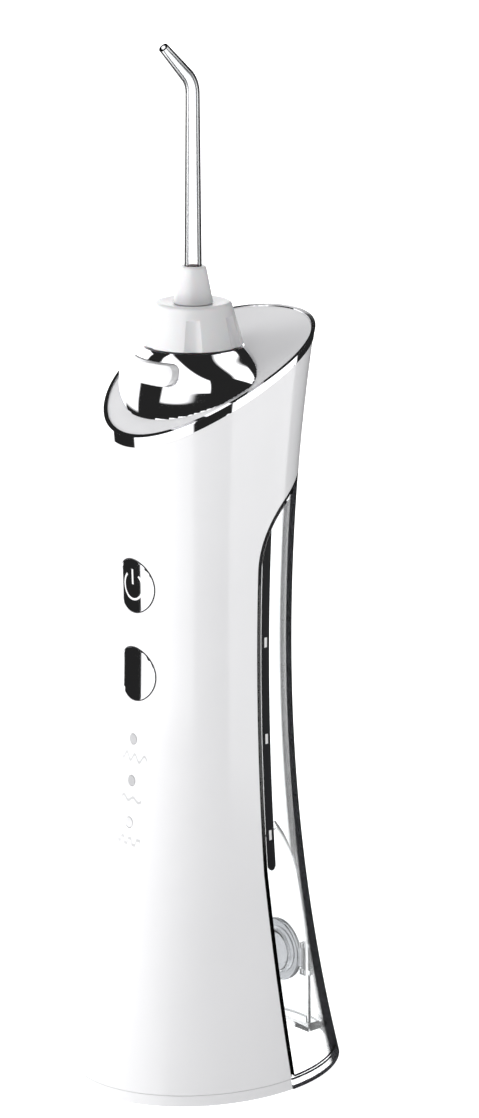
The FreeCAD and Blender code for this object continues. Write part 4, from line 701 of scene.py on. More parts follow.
@dataclass
class Outline:
    """The waisted body outline, its sloping top and the side outline of the tank.

    The half sizes follow arcs that are tangent at the waist.
    """

    base_deep: float = 41.0 * MM
    waist_deep: float = 25.4 * MM
    top_deep: float = 32.0 * MM
    base_wide: float = 34.6 * MM
    waist_wide: float = 22.6 * MM
    top_wide: float = 29.6 * MM
    waist_z: float = 126.0 * MM
    top_z: float = 218.0 * MM
    ring_step: float = 5.0 * MM
    segments: int = 192
    arc_sides: int = 720
    arc_steps: int = 24
    layer_step: float = 2.0 * MM
    deck_front_z: float = 186.9 * MM
    deck_back_z: float = 215.3 * MM
    deck_crown: float = 2.75 * MM
    ring_front: float = 2.5 * MM
    ring_back: float = 1.9 * MM
    seam_base_y: float = 3.3 * MM
    seam_lean_z: float = 62.0 * MM
    shoulder_z: float = 148.5 * MM
    shoulder_radius: float = 22.0 * MM
    shoulder_slope: float = math.radians(31.5)

    def flare(self, z: float, base: float, waist: float, top: float) -> float:
        """Half size at height z, on the arc below or above the waist.

        Args:
            z: The height.
            base: Half size at the base.
            waist: Half size at the waist.
            top: Half size at the top.

        Returns:
            The half size.
        """
        if z < self.waist_z:
            rise, swell = self.waist_z, base - waist
        else:
            rise, swell = self.top_z - self.waist_z, top - waist
        radius = (rise**2 + swell**2) / (2 * swell)
        return waist + radius - math.sqrt(radius**2 - (z - self.waist_z) ** 2)

    def deep(self, z: float) -> float:
        """Half depth of the outside at height z."""
        return self.flare(z, self.base_deep, self.waist_deep, self.top_deep)

    def wide(self, z: float) -> float:
        """Half width of the outside at height z."""
        return self.flare(z, self.base_wide, self.waist_wide, self.top_wide)

    def solid(self, name: str, inset: float, z0: float, z1: float, step: float = 0.0) -> Object:
        """The form inside the outline, drawn in by inset.

        Args:
            name: Its name.
            inset: How far inside the outside it lies.
            z0: Its bottom.
            z1: Its top.
            step: Height between its rings, or 0 for the usual one.

        Returns:
            A closed form.
        """
        count = max(2, math.ceil((z1 - z0) / (step or self.ring_step)))
        heights = [z0 + (z1 - z0) * i / count for i in range(count + 1)]
        rings = [Ring(z, self.wide(z) - inset, self.deep(z) - inset) for z in heights]
        return stack(name, rings, self.segments)

    def deck_arc(self) -> tuple[float, float, float]:
        """The arc of the sloping top in side view.

        Returns:
            Its centre's y and z, and its radius.
        """
        front = Vector((-self.deep(self.deck_front_z), self.deck_front_z))
        back = Vector((self.deep(self.deck_back_z), self.deck_back_z))
        chord = back - front
        radius = (chord.length**2 / 4 + self.deck_crown**2) / (2 * self.deck_crown)
        normal = Vector((-chord.y, chord.x)).normalized()
        centre = (front + back) / 2 - normal * (radius - self.deck_crown)
        return centre.x, centre.y, radius

    def under_deck(self, raised: float) -> Object:
        """Everything below the sloping top, raised by some distance."""
        y, z, radius = self.deck_arc()
        return rod("under_deck", (-FAR, y, z), (FAR, y, z), radius + raised, sides=self.arc_sides)

    def under_ring(self) -> Object:
        """Everything below the bright ring, which gets lower towards the back.

        Returns:
            A bar across the width with the ring's lower edge as its outline.
        """
        y, z, radius = self.deck_arc()
        mean = (self.ring_front + self.ring_back) / 2
        tilt = (self.ring_front - self.ring_back) / (2 * self.top_deep)
        middle = Vector((0.0, self.deck_z(0.0)))
        arm = Vector((y, z)) - middle
        y = middle.x + arm.x * math.cos(tilt) - arm.y * math.sin(tilt)
        z = middle.y + arm.x * math.sin(tilt) + arm.y * math.cos(tilt)
        return rod("under_ring", (-FAR, y, z), (FAR, y, z), radius - mean, sides=self.arc_sides)

    def deck_z(self, y: float) -> float:
        """Height of the sloping top at y."""
        centre_y, centre_z, radius = self.deck_arc()
        return centre_z + math.sqrt(radius**2 - (y - centre_y) ** 2)

    def tank_side(self, grow: float, z0: float = -5 * MM) -> Object:
        """The tank's side outline pushed out across the width.

        Args:
            grow: How much larger it is towards the handle.
            z0: Its bottom.

        Returns:
            A closed prism.
        """
        lean = self.seam_base_y * (self.seam_lean_z - z0) / self.seam_lean_z
        reach = self.shoulder_radius + grow
        outline = [Vector((-FAR, lean - grow, z0)), Vector((-FAR, -grow, self.seam_lean_z))]
        for i in range(self.arc_steps + 1):
            angle = math.pi - (math.pi / 2 - self.shoulder_slope) * i / self.arc_steps
            y = self.shoulder_radius + reach * math.cos(angle)
            outline.append(Vector((-FAR, y, self.shoulder_z + reach * math.sin(angle))))
        top_y = outline[-1].y + FAR * math.cos(self.shoulder_slope)
        top_z = outline[-1].z + FAR * math.sin(self.shoulder_slope)
        outline += [Vector((-FAR, top_y, top_z)), Vector((-FAR, top_y, z0))]
        return plate("tank_side", outline, (2 * FAR, 0, 0))

    def layer(self, name: str, proud: float, inset: float, z0: float, z1: float) -> Object:
        """A thin layer that follows the outside.

        Args:
            name: Its name.
            proud: How far it stands out of the outside.
            inset: How far it reaches in.
            z0: Its bottom.
            z1: Its top.

        Returns:
            The layer as a closed sleeve.
        """
        outer = self.solid(name, -proud, z0, z1, self.layer_step)
        inner = self.solid("inner", inset, z0 - SPARE, z1 + SPARE, self.layer_step)
        return work(outer, Cut.TAKE_AWAY, inner)


def round_outline(centre: Vector, radius: float, start: float, end: float, steps: int) -> list[Vector]:
    """Points of an arc in the XZ plane.

    Args:
        centre: Its centre.
        radius: Its radius.
        start: The first angle in degrees, from +X towards +Z.
        end: The last angle.
        steps: Steps between them.

    Returns:
        The points.
    """
    angles = [math.radians(start + (end - start) * i / steps) for i in range(steps + 1)]
    return [centre + Vector((math.cos(a), 0, math.sin(a))) * radius for a in angles]


# ---------------------------------------------------------------- handle
@dataclass
class Handle:
    """The white housing, its base, the bright ring and the deck."""

    outline: Outline
    wall: float = 2.0 * MM
    seam_gap: float = 0.3 * MM
    ring_wide: float = 0.9 * MM
    ring_proud: float = 0.2 * MM
    ring_bevel: float = 0.2 * MM
    ring_step: float = 3.0 * MM
    deck_sunk: float = 0.25 * MM
    deck_thick: float = 1.8 * MM
    edge: float = 0.22 * MM
    button_gap: float = 0.32 * MM
    flap_gap: float = 0.25 * MM
    base_lip: float = 2.0 * MM
    base_gap: float = 0.1 * MM
    base_bevel: float = 0.8 * MM
    screw_radius: float = 1.7 * MM
    screw_y: float = -12.0 * MM
    well_radius: float = 1.9 * MM
    well_deep: float = 1.5 * MM
    collar_hole: float = 10.5 * MM
    seal_sunk: float = 0.06 * MM
    seal_deep: float = 1.6 * MM
    seal_low: float = 3.5 * MM
    seal_high: float = 185.0 * MM
    flap_corner: float = 2.0 * MM
    flap_thick: float = 1.3 * MM
    flap_bevel: float = 0.2 * MM
    notch_radius: float = 1.0 * MM
    notch_half: float = 2.5 * MM
    notch_out: float = 0.5 * MM
    notch_drop: float = 0.9 * MM
    bead_radius: float = 0.55 * MM
    bead_half: float = 3.2 * MM
    axis_y: float = field(init=False)

    def __post_init__(self) -> None:
        """Reads the nozzle's axis from the frame."""
        self.axis_y = (low("nozzle_knob").y + high("nozzle_knob").y) / 2

    def build(self) -> None:
        """Builds every piece of the handle."""
        self.shell()
        self.base()
        self.ring()
        self.deck()
        self.seam_seal()
        self.flap()

    def key_places(self) -> list[tuple[float, float]]:
        """Places of the two push buttons' holes.

        Returns:
            The height and radius of each, from the upper one down.
        """
        places = []
        for node in ("power_button", "mode_button"):
            middle = (low(node).z + high(node).z) / 2
            places.append((middle, Controls.button_radius + self.button_gap))
        return places

    def shell(self) -> None:
        """The housing with its holes."""
        z0 = high("base_cap").z - self.base_lip + self.base_gap
        top = high("trim_ring").z + 5 * MM
        shell = self.outline.solid("handle_housing", 0.0, z0, top)
        inner = self.outline.solid("inner", self.wall, z0 - self.wall, top + self.wall)
        work(shell, Cut.TAKE_AWAY, inner)
        work(shell, Cut.TAKE_AWAY, self.outline.tank_side(self.seam_gap))
        work(shell, Cut.KEEP_COMMON, self.outline.under_ring())
        board_y = low("control_board").y
        for z, radius in self.key_places():
            work(shell, Cut.TAKE_AWAY, rod("hole", (0, -FAR, z), (0, board_y, z), radius))
        for z in Controls.lamp_heights():
            radius = Controls.lamp_radius + Controls.lamp_gap
            work(shell, Cut.TAKE_AWAY, rod("hole", (0, -FAR, z), (0, board_y, z), radius, sides=48))
        work(shell, Cut.TAKE_AWAY, self.flap_block(self.flap_gap))
        soften(shell, self.edge)
        smooth(shell)
        hand_over(shell, Finishes.WHITE_SHELL, "handle", "white_shell", "handle_shell")

    def base(self) -> None:
        """The floor of the handle, with a rounded lower edge and its screw wells."""
        top = high("base_cap").z - self.base_lip
        cap = self.outline.solid("base_floor", 0.0, 0.0, top, 1 * MM)
        work(cap, Cut.TAKE_AWAY, self.outline.tank_side(self.seam_gap))
        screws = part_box("base_screws")
        side = screws[1].x - self.screw_radius
        for x, y in ((-side, self.screw_y), (side, self.screw_y), (0.0, screws[0].y + self.screw_radius)):
            well = rod("well", (x, y, -1 * MM), (x, y, self.well_deep), self.well_radius, sides=48)
            work(cap, Cut.TAKE_AWAY, well)
        soften(cap, self.base_bevel, 4)
        smooth(cap)
        hand_over(cap, Finishes.WHITE_BASE, "handle", "white_base", "base_cap")

    def ring(self) -> None:
        """The bright ring round the top."""
        z0, z1 = self.outline.deck_front_z - 12 * MM, self.outline.deck_back_z + 8 * MM
        ring = self.outline.solid("bright_ring", -self.ring_proud, z0, z1, self.ring_step)
        inner = self.outline.solid("inner", self.ring_wide, z0 - SPARE, z1 + SPARE, self.ring_step)
        work(ring, Cut.TAKE_AWAY, inner)
        work(ring, Cut.KEEP_COMMON, self.outline.under_deck(0.0))
        work(ring, Cut.TAKE_AWAY, self.outline.under_ring())
        soften(ring, self.ring_bevel, 3)
        smooth(ring)
        hand_over(ring, Finishes.CHROME_RING, "handle", "chrome_ring", "trim_ring")

    def deck(self) -> None:
        """The sloping plate inside the ring, with the collar's hole."""
        z0, z1 = self.outline.deck_front_z - 14 * MM, self.outline.deck_back_z + 8 * MM
        deck = self.outline.solid("sloping_deck", self.ring_wide + 0.08 * MM, z0, z1)
        work(deck, Cut.KEEP_COMMON, self.outline.under_deck(-self.deck_sunk))
        work(deck, Cut.TAKE_AWAY, self.outline.under_deck(-self.deck_sunk - self.deck_thick))
        hole = rod("hole", (0, self.axis_y, z0), (0, self.axis_y, z1), self.collar_hole)
        work(deck, Cut.TAKE_AWAY, hole)
        soften(deck, self.edge)
        smooth(deck)
        hand_over(deck, Finishes.GREY_DECK, "handle", "grey_deck", "top_deck")

    def seam_seal(self) -> None:
        """A thin dark seal that lies back in the seam between handle and tank."""
        seal = self.outline.layer("seam_seal", -self.seal_sunk, self.seal_deep, self.seal_low, self.seal_high)
        work(seal, Cut.KEEP_COMMON, self.outline.tank_side(self.seam_gap - 0.02 * MM))
        work(seal, Cut.TAKE_AWAY, self.outline.tank_side(0.06 * MM))
        hand_over(smooth(seal), Finishes.RUBBER, "handle", "rubber")

    def flap_block(self, grow: float) -> Object:
        """The charging flap's rounded outline pushed out of the back.

        Args:
            grow: How much larger it is all round.

        Returns:
            A closed prism.
        """
        box_low, box_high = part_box("charge_flap")
        corner = self.flap_corner + grow
        x0, x1 = box_low.x - grow + corner, box_high.x + grow - corner
        z0, z1 = box_low.z - grow + corner, box_high.z + grow - corner
        outline: list[Vector] = []
        for x, z, start in ((x1, z1, 0), (x0, z1, 90), (x0, z0, 180), (x1, z0, 270)):
            outline += round_outline(Vector((x, 5 * MM, z)), corner, start, start + 90, 6)
        return plate("flap_block", outline, (0, FAR, 0))

    @staticmethod
    def flap_pivot() -> Vector:
        """Where the charging flap's hinge line crosses the middle of the back.

        Returns:
            The place of its joint.
        """
        for joint in frame["joints"]:
            if joint["name"] == "flap_hinge":
                return Vector(joint["pos_m"])
        raise KeyError("flap_hinge")

    def flap(self) -> None:
        """The soft flap over the charging socket, with a finger notch and a hinge bead."""
        box_low, box_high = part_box("charge_flap")
        flap = self.flap_block(0.0)
        pivot = self.flap_pivot()
        below = block("below", (-FAR, 0, box_low.z - FAR), (FAR, FAR, pivot.z))
        work(flap, Cut.TAKE_AWAY, below)
        z0, z1 = box_low.z - 4 * MM, box_high.z + 4 * MM
        work(flap, Cut.KEEP_COMMON, self.outline.layer("layer", 0.0, self.flap_thick, z0, z1))
        y, z = box_high.y + self.notch_out, box_high.z - self.notch_drop
        ends = (-self.notch_half, y, z), (self.notch_half, y, z)
        work(flap, Cut.TAKE_AWAY, rod("notch", *ends, self.notch_radius, sides=32))
        side = Vector((self.bead_half, 0, 0))
        work(flap, Cut.JOIN, rod("bead", pivot - side, pivot + side, self.bead_radius, sides=40))
        flap.name = "charging_flap"
        soften(flap, self.flap_bevel)
        smooth(flap)
        hand_over(flap, Finishes.WHITE_FLAP, "flap", "white_flap", "charge_flap")


# ---------------------------------------------------------------- controls
@dataclass
class Controls:
    """Push buttons, lamps and the pictograms on the front."""

    outline: Outline
    button_proud: float = 0.15 * MM
    button_deep: float = 3.0 * MM
    icon_radius: float = 3.8 * MM
    icon_line: float = 0.62 * MM
    button_radius: float = 7.4 * MM
    button_bevel: float = 0.35 * MM
    rim_wide: float = 0.30 * MM
    rim_gap: float = 0.02 * MM
    rim_sunk: float = 0.05 * MM
    rim_deep: float = 1.2 * MM
    band: float = 12.0 * MM
    back_y: float = -5.0 * MM
    lamp_radius: float = 1.5 * MM
    lamp_gap: float = 0.1 * MM
    lamp_proud: float = 0.08 * MM
    lamp_long: float = 2.2 * MM
    lamp_bevel: float = 0.12 * MM
    icon_proud: float = 0.04 * MM
    icon_open: tuple[float, float] = (128.0, 412.0)
    icon_bar: tuple[float, float] = (0.4 * MM, 0.9 * MM)
    mark_drop: float = 5.2 * MM
    mark_line: float = 0.75 * MM
    mark_proud: float = 0.012 * MM

    def build(self) -> None:
        """Builds both buttons, the lamps and the pictograms."""
        self.button("power_button", "power_key", "power_face")
        self.button("mode_button", "mode_key", "mode_face")
        self.power_icon()
        self.lamps()
        self.pictograms()

    @staticmethod
    def lamp_heights() -> list[float]:
        """Heights of the three lamps.

        Returns:
            The heights, from the top down.
        """
        box_low, box_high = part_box("light_pipes")
        top, bottom = box_high.z - 1.5 * MM, box_low.z + 1.5 * MM
        return [top, (top + bottom) / 2, bottom]

    def button(self, node: str, body: str, name: str) -> None:
        """One bright push button with a fine dark rim.

        Args:
            node: The frame's node.
            body: Its body.
            name: The piece's name.
        """
        middle = (low(node).z + high(node).z) / 2
        z0, z1 = middle - self.band, middle + self.band
        front, back = (0, -FAR, middle), (0, self.back_y, middle)
        face = rod(name, front, back, self.button_radius, sides=128)
        work(face, Cut.KEEP_COMMON, self.outline.layer("layer", self.button_proud, self.button_deep, z0, z1))
        soften(face, self.button_bevel, 3, 60)
        smooth(face)
        hand_over(face, Finishes.CHROME_BUTTON, body, "chrome_button", node)
        rim = rod("rim_outer", front, back, self.button_radius + self.rim_wide, sides=128)
        inner_radius = self.button_radius + self.rim_gap
        hole = rod("rim_inner", (0, -FAR - MM, middle), (0, 0, middle), inner_radius, sides=128)
        work(rim, Cut.TAKE_AWAY, hole)
        work(rim, Cut.KEEP_COMMON, self.outline.layer("layer", -self.rim_sunk, self.rim_deep, z0, z1))
        rim.name = name + "_seal"
        hand_over(smooth(rim), Finishes.RUBBER, "handle", "rubber")

    def inlay(self, name: str, shape: Object, z: float, proud: float) -> Object:
        """Lays a flat shape into the curved front.

        Args:
            name: The piece's name.
            shape: The shape as a prism along Y.
            z: Its middle height.
            proud: How far it stands out of the outline.

        Returns:
            The inlay.
        """
        work(shape, Cut.KEEP_COMMON, self.outline.layer("layer", proud, 0.1 * MM, z - 9 * MM, z + 9 * MM))
        shape.name = name
        return smooth(shape)

    def power_icon(self) -> None:
        """The usual ring and bar of an on-off button."""
        z = (low("power_button").z + high("power_button").z) / 2
        middle, half = Vector((0, -FAR, z)), self.icon_line / 2
        start, end = self.icon_open
        outer = round_outline(middle, self.icon_radius + half, start, end, 40)
        inner = round_outline(middle, self.icon_radius - half, end, start, 40)
        ring = plate("ring", outer + inner, (0, FAR + self.back_y, 0))
        below, past = self.icon_bar
        bar = block("bar", (-half, -FAR, z + below), (half, self.back_y, z + self.icon_radius + past))
        for part, name in ((ring, "power_icon_ring"), (bar, "power_icon_bar")):
            self.inlay(name, part, z, self.button_proud + self.icon_proud)
            hand_over(part, Finishes.ICON, "power_key", "white_tick")

    def lamp(self, z: float) -> Object:
        """One slightly domed lamp window.

        Args:
            z: Its height.

        Returns:
            The window.
        """
        start = -self.outline.deep(z) - self.lamp_proud
        lamp = rod("lamp", (0, start, z), (0, start + self.lamp_long, z), self.lamp_radius, sides=48)
        edit_all(lamp)
        bpy.ops.mesh.select_all(action="DESELECT")
        bpy.ops.object.mode_set(mode="OBJECT")
        for face in lamp.data.polygons:
            face.select = face.normal.y < -0.9
        bpy.ops.object.mode_set(mode="EDIT")
        bpy.ops.mesh.select_mode(type="FACE")
        bpy.ops.mesh.inset(thickness=self.lamp_radius * 0.3, depth=0.05 * MM)
        bpy.ops.mesh.inset(thickness=self.lamp_radius * 0.35, depth=0.03 * MM)
        bpy.ops.object.mode_set(mode="OBJECT")
        soften(lamp, self.lamp_bevel, 2)
        return smooth(lamp)

    def lamps(self) -> None:
        """Three lamp windows, modelled once and copied down the front."""
        heights = self.lamp_heights()
        first = self.lamp(heights[0])
        first.name = "lamp_window_1"
        windows = [first]
        for i, z in enumerate(heights[1:], 2):
            step = (0, self.outline.deep(heights[0]) - self.outline.deep(z), z - heights[0])
            windows.append(copied(first, f"lamp_window_{i}", step))
        hand_over(windows[0], Finishes.LENS_ON, "handle", "clear_lens", "light_pipes")
        hand_over(windows[1], Finishes.LENS_ON, "handle", "clear_lens")
        hand_over(windows[2], Finishes.LENS_OFF, "handle", "clear_lens")

    def ribbon(self, wave: Callable[[float], float], half: float, z: float, line: float) -> Object:
        """A ribbon along a wave, as a prism along Y.

        Args:
            wave: Height of the wave at a place along it from -1 to 1.
            half: Half its length.
            z: Its middle height.
            line: Its thickness.

        Returns:
            The prism.
        """
        steps = 48
        places = [-1 + 2 * i / steps for i in range(steps + 1)]
        top = [Vector((half * p, -FAR, z + wave(p) + line / 2)) for p in places]
        bottom = [Vector((half * p, -FAR, z + wave(p) - line / 2)) for p in reversed(places)]
        return plate("ribbon", top + bottom, (0, FAR + self.back_y, 0))

    def pictograms(self) -> None:
        """One printed wave under each lamp: strong, gentle and pulsed."""
        marks = (
            ("strong_mark", 0, 5.4 * MM, lambda p: 1.0 * MM * math.sin(3 * math.pi * p)),
            ("gentle_mark", 1, 4.2 * MM, lambda p: 0.55 * MM * math.sin(2 * math.pi * p)),
            ("pulsed_mark", 2, 4.8 * MM, lambda p: 0.8 * MM * math.tanh(6 * math.sin(3 * math.pi * p))),
        )
        for name, place, half, wave in marks:
            z = self.lamp_heights()[place] - self.mark_drop
            mark = self.ribbon(wave, half, z, self.mark_line)
            self.inlay(name, mark, z, self.mark_proud)
            hand_over(mark, Finishes.PRINT_GREY, "handle", "white_tick")


# ---------------------------------------------------------------- head
@dataclass
class Head:
    """Collar, release button, knob and nozzle."""

    outline: Outline
    collar_radius: float = 14.0 * MM
    collar_side: float = field(init=False)
    collar_top: float = field(init=False)
    axis_y: float = field(init=False)
    collar_wall: float = 1.6 * MM
    collar_lid: float = 1.8 * MM
    collar_bore: float = 9.6 * MM
    collar_bevel: float = 0.25 * MM
    dome_high: float = 20.0 * MM
    dome_slope: float = 0.2
    shoulder_high: float = 9.0 * MM
    shoulder_power: float = 1.2
    lip_high: float = 1.5 * MM
    lip_wide: float = 1.0 * MM
    tuck_start: float = 12.0 * MM
    tuck_radius: float = 64.0 * MM
    pill_gap: float = 0.2 * MM
    pill_proud: float = 2.0 * MM
    pill_back: float = 10.6 * MM
    pill_bevel: float = 1.1 * MM
    knob_gap: float = 0.4 * MM
    knob_taper: float = 3.5 * MM
    knob_foot: float = 0.35 * MM
    knob_foot_high: float = 0.3 * MM
    knob_rim: float = 1.1 * MM
    knob_rim_drift: float = 0.1 * MM
    knob_steps: int = 12
    knob_rim_steps: int = 8
    knob_bevel: float = 0.25 * MM
    knob_bore: float = 4.4 * MM
    neck_radius: float = 9.4 * MM
    neck_drop: float = 1.4 * MM
    neck_rise: float = 2.0 * MM
    dish_outer: float = 8.7 * MM
    dish_inner: float = 6.0 * MM
    dish_deep: float = 0.6 * MM
    flutes: int = 6
    flute_radius: float = 6.0 * MM
    flute_taper: float = 0.4 * MM
    flute_bite: float = 0.5 * MM
    flute_stop: float = 1.4 * MM
    flute_turn: float = 20.0
    seat_radius: float = 2.46 * MM
    seat_deep: float = 6.0 * MM
    stem_bore: float = 1.2 * MM
    tube_wall: float = 0.75 * MM
    tube_foot: float = 2.45 * MM
    tube_neck: float = 1.95 * MM
    tube_mouth: float = 1.4 * MM
    tube_bevel: float = 0.18 * MM
    bend_radius: float = 7.0 * MM
    bend_turn: float = math.radians(45)
    bend_z: float = 277.9 * MM
    bend_steps: int = 10
    tip_long: float = 11.5 * MM
    tip_steps: int = 4

    def __post_init__(self) -> None:
        """Reads the collar's place from the frame."""
        self.axis_y = (low("nozzle_knob").y + high("nozzle_knob").y) / 2
        self.collar_top = high("nozzle_collar").z
        side = self.outline.wide(self.outline.deck_z(self.axis_y)) - 2.5 * MM
        self.collar_side = side - self.collar_radius

    def build(self) -> None:
        """Builds every piece above the deck."""
        self.collar()
        self.release_pill()
        self.knob()
        self.cone()
        self.tube()

    def collar_ring(self, drop: float, inset: float) -> Ring:
        """One ring of the collar at a drop below its top.

        Args:
            drop: How far below the top.
            inset: How far inside the outer surface.

        Returns:
            The ring.
        """
        share = math.sin(min(1.0, drop / self.shoulder_high) * math.pi / 2) ** self.shoulder_power
        tuck = max(0.0, drop - self.tuck_start) ** 2 / self.tuck_radius
        lip = (1.0 - math.exp(-drop / self.lip_high)) * self.lip_wide
        wide = self.collar_radius + self.collar_side * share - tuck
        deep = self.collar_radius + lip + self.dome_slope * drop - tuck
        return Ring(self.collar_top - drop, wide - inset, deep - inset, self.axis_y)

    def dome(self, name: str, inset: float) -> Object:
        """The collar's solid dome.

        Args:
            name: Its name.
            inset: How far inside the outer surface.

        Returns:
            The dome, closed.
        """
        drops = [self.dome_high * (i / 40) ** 1.5 for i in range(41)]
        return stack(name, [self.collar_ring(drop, inset) for drop in reversed(drops)], 160)

    def pill_block(self, grow: float, y0: float, y1: float) -> Object:
        """The release button's outline as a prism along Y.

        Args:
            grow: How much larger it is all round.
            y0: Its front.
            y1: Its back.

        Returns:
            The prism.
        """
        box_low, box_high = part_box("release_button")
        z, radius = (box_low.z + box_high.z) / 2, (box_high.z - box_low.z) / 2
        straight = box_high.x - radius
        radius += grow
        right = round_outline(Vector((straight, y0, z)), radius, -90, 90, 24)
        left = round_outline(Vector((-straight, y0, z)), radius, 90, 270, 24)
        return plate("pill_block", right + left, (0, y1 - y0, 0))

    def collar(self) -> None:
        """The bright dome with its slot for the release button."""
        dome = self.dome("bright_collar", 0.0)
        work(dome, Cut.TAKE_AWAY, self.outline.under_deck(-0.15 * MM))
        room = self.dome("room", self.collar_wall)
        ceiling = self.collar_top - self.collar_lid
        lid = block("lid", (-FAR, -FAR, ceiling), (FAR, FAR, self.collar_top + FAR))
        work(room, Cut.TAKE_AWAY, lid)
        work(dome, Cut.TAKE_AWAY, room)
        z0, z1 = self.collar_top - 30 * MM, self.collar_top + 5 * MM
        work(dome, Cut.TAKE_AWAY, rod("hole", (0, self.axis_y, z0), (0, self.axis_y, z1), self.collar_bore))
        work(dome, Cut.TAKE_AWAY, self.pill_block(self.pill_gap, -FAR, self.axis_y))
        soften(dome, self.collar_bevel, 3, 50)
        smooth(dome)
        hand_over(dome, Finishes.CHROME_COLLAR, "handle", "chrome_collar", "nozzle_collar")

    def release_pill(self) -> None:
        """The pill-shaped release button, wrapped round the collar's front."""
        pill = self.pill_block(0.0, -FAR, self.axis_y - self.pill_back)
        work(pill, Cut.KEEP_COMMON, self.dome("reach", -self.pill_proud))
        pill.name = "release_pill"
        soften(pill, self.pill_bevel, 5, 50)
        smooth(pill)
        hand_over(pill, Finishes.WHITE_PILL, "release", "white_pill", "release_button")

    def knob_rings(self, bottom: float, top: float, wide: float, narrow: float) -> list[Ring]:
        """The knob's rings: a small step, the cone, the rounded rim and the dish.

        Args:
            bottom: Its bottom.
            top: Its top.
            wide: Its radius at the bottom.
            narrow: Its radius at the top.

        Returns:
            The rings, from the bottom up.
        """
        circles = [(bottom, wide - self.knob_foot)]
        for i in range(self.knob_steps + 1):
            share = i / self.knob_steps
            z = bottom + self.knob_foot_high + (top - self.knob_rim - bottom - self.knob_foot_high) * share
            circles.append((z, wide + (narrow - wide) * (z - bottom) / (top - bottom)))
        edge = circles[-1][1]
        for i in range(1, self.knob_rim_steps + 1):
            angle = math.pi / 2 * i / self.knob_rim_steps
            drift = self.knob_rim_drift * i / self.knob_rim_steps
            radius = edge - self.knob_rim * (1 - math.cos(angle)) - drift
            circles.append((top - self.knob_rim + self.knob_rim * math.sin(angle), radius))
        circles += [(top, self.dish_outer), (top - self.dish_deep, self.dish_inner)]
        return [Ring(z, radius, radius, self.axis_y) for z, radius in circles]

    def knob(self) -> None:
        """The turning knob: a fluted cone with a rounded rim, a dished top and a neck."""
        bottom, top = self.collar_top + self.knob_gap, high("nozzle_knob").z
        wide, narrow = high("nozzle_knob").x, high("nozzle_knob").x - self.knob_taper
        knob = stack("turning_knob", self.knob_rings(bottom, top, wide, narrow), 192)
        slope = (wide - narrow) / (top - bottom)
        for i in range(self.flutes):
            turn = math.radians(self.flute_turn + 360 * i / self.flutes)
            out = Vector((math.cos(turn), math.sin(turn), 0))
            reach = wide + self.flute_radius - self.flute_bite
            start = Vector((0, self.axis_y, bottom - 0.5 * MM)) + out * reach
            end = start + (Vector((0, 0, 1)) - out * slope) * (top - bottom - self.flute_stop)
            flute = rod("flute", start, end, self.flute_radius, self.flute_radius - self.flute_taper)
            work(knob, Cut.TAKE_AWAY, flute)
        foot, head = (0, self.axis_y, bottom - self.neck_drop), (0, self.axis_y, bottom + self.neck_rise)
        work(knob, Cut.JOIN, rod("neck", foot, head, self.neck_radius))
        below, above = (0, self.axis_y, bottom - 3 * MM), (0, self.axis_y, top + MM)
        work(knob, Cut.TAKE_AWAY, rod("bore", below, above, self.knob_bore))
        soften(knob, self.knob_bevel, 2, 28)
        smooth(knob)
        hand_over(knob, Finishes.WHITE_KNOB, "knob", "white_knob", "nozzle_knob")

    def cone(self) -> None:
        """The nozzle's white foot, with its key, its latch groove and its stem."""
        knob_top, top = high("nozzle_knob").z, high("nozzle_cone").z
        z0, bottom = knob_top - 0.45 * MM, low("nozzle_cone").z
        stem, neck, latch, shank = 3.0, 2.1, 2.3, 4.1
        profile = [(bottom, 2.6), (bottom + 0.4 * MM, stem), (bottom + 1.6 * MM, stem)]
        profile += [(bottom + 1.7 * MM, neck), (bottom + 2.7 * MM, neck), (bottom + 2.8 * MM, stem)]
        groove = (low("release_button").z + high("release_button").z) / 2 + 0.6 * MM
        profile += [(groove - 0.9 * MM, stem), (groove - 0.85 * MM, latch)]
        profile += [(groove + 0.85 * MM, latch), (groove + 0.9 * MM, stem)]
        profile += [(z0 - 2.3 * MM, stem), (z0 - 2.25 * MM, shank), (z0, shank)]
        profile += [(z0 + 0.02 * MM, 5.3), (z0 + 0.25 * MM, 5.5), (z0 + 1.4 * MM, 5.25)]
        profile += [(top - 0.9 * MM, 3.7), (top - 0.35 * MM, 3.55), (top, 3.2), (top + 0.001 * MM, 2.5)]
        rings = [Ring(z, radius * MM, radius * MM, self.axis_y) for z, radius in profile]
        cone = stack("nozzle_foot", rings, 96)
        seat_low, above = (0, self.axis_y, top - self.seat_deep), (0, self.axis_y, top + MM)
        work(cone, Cut.TAKE_AWAY, rod("seat", seat_low, above, self.seat_radius))
        below, inside = (0, self.axis_y, bottom - MM), (0, self.axis_y, top)
        work(cone, Cut.TAKE_AWAY, rod("bore", below, inside, self.stem_bore))
        smooth(cone)
        hand_over(cone, Finishes.WHITE_KNOB, "nozzle", "white_knob", "nozzle_cone")

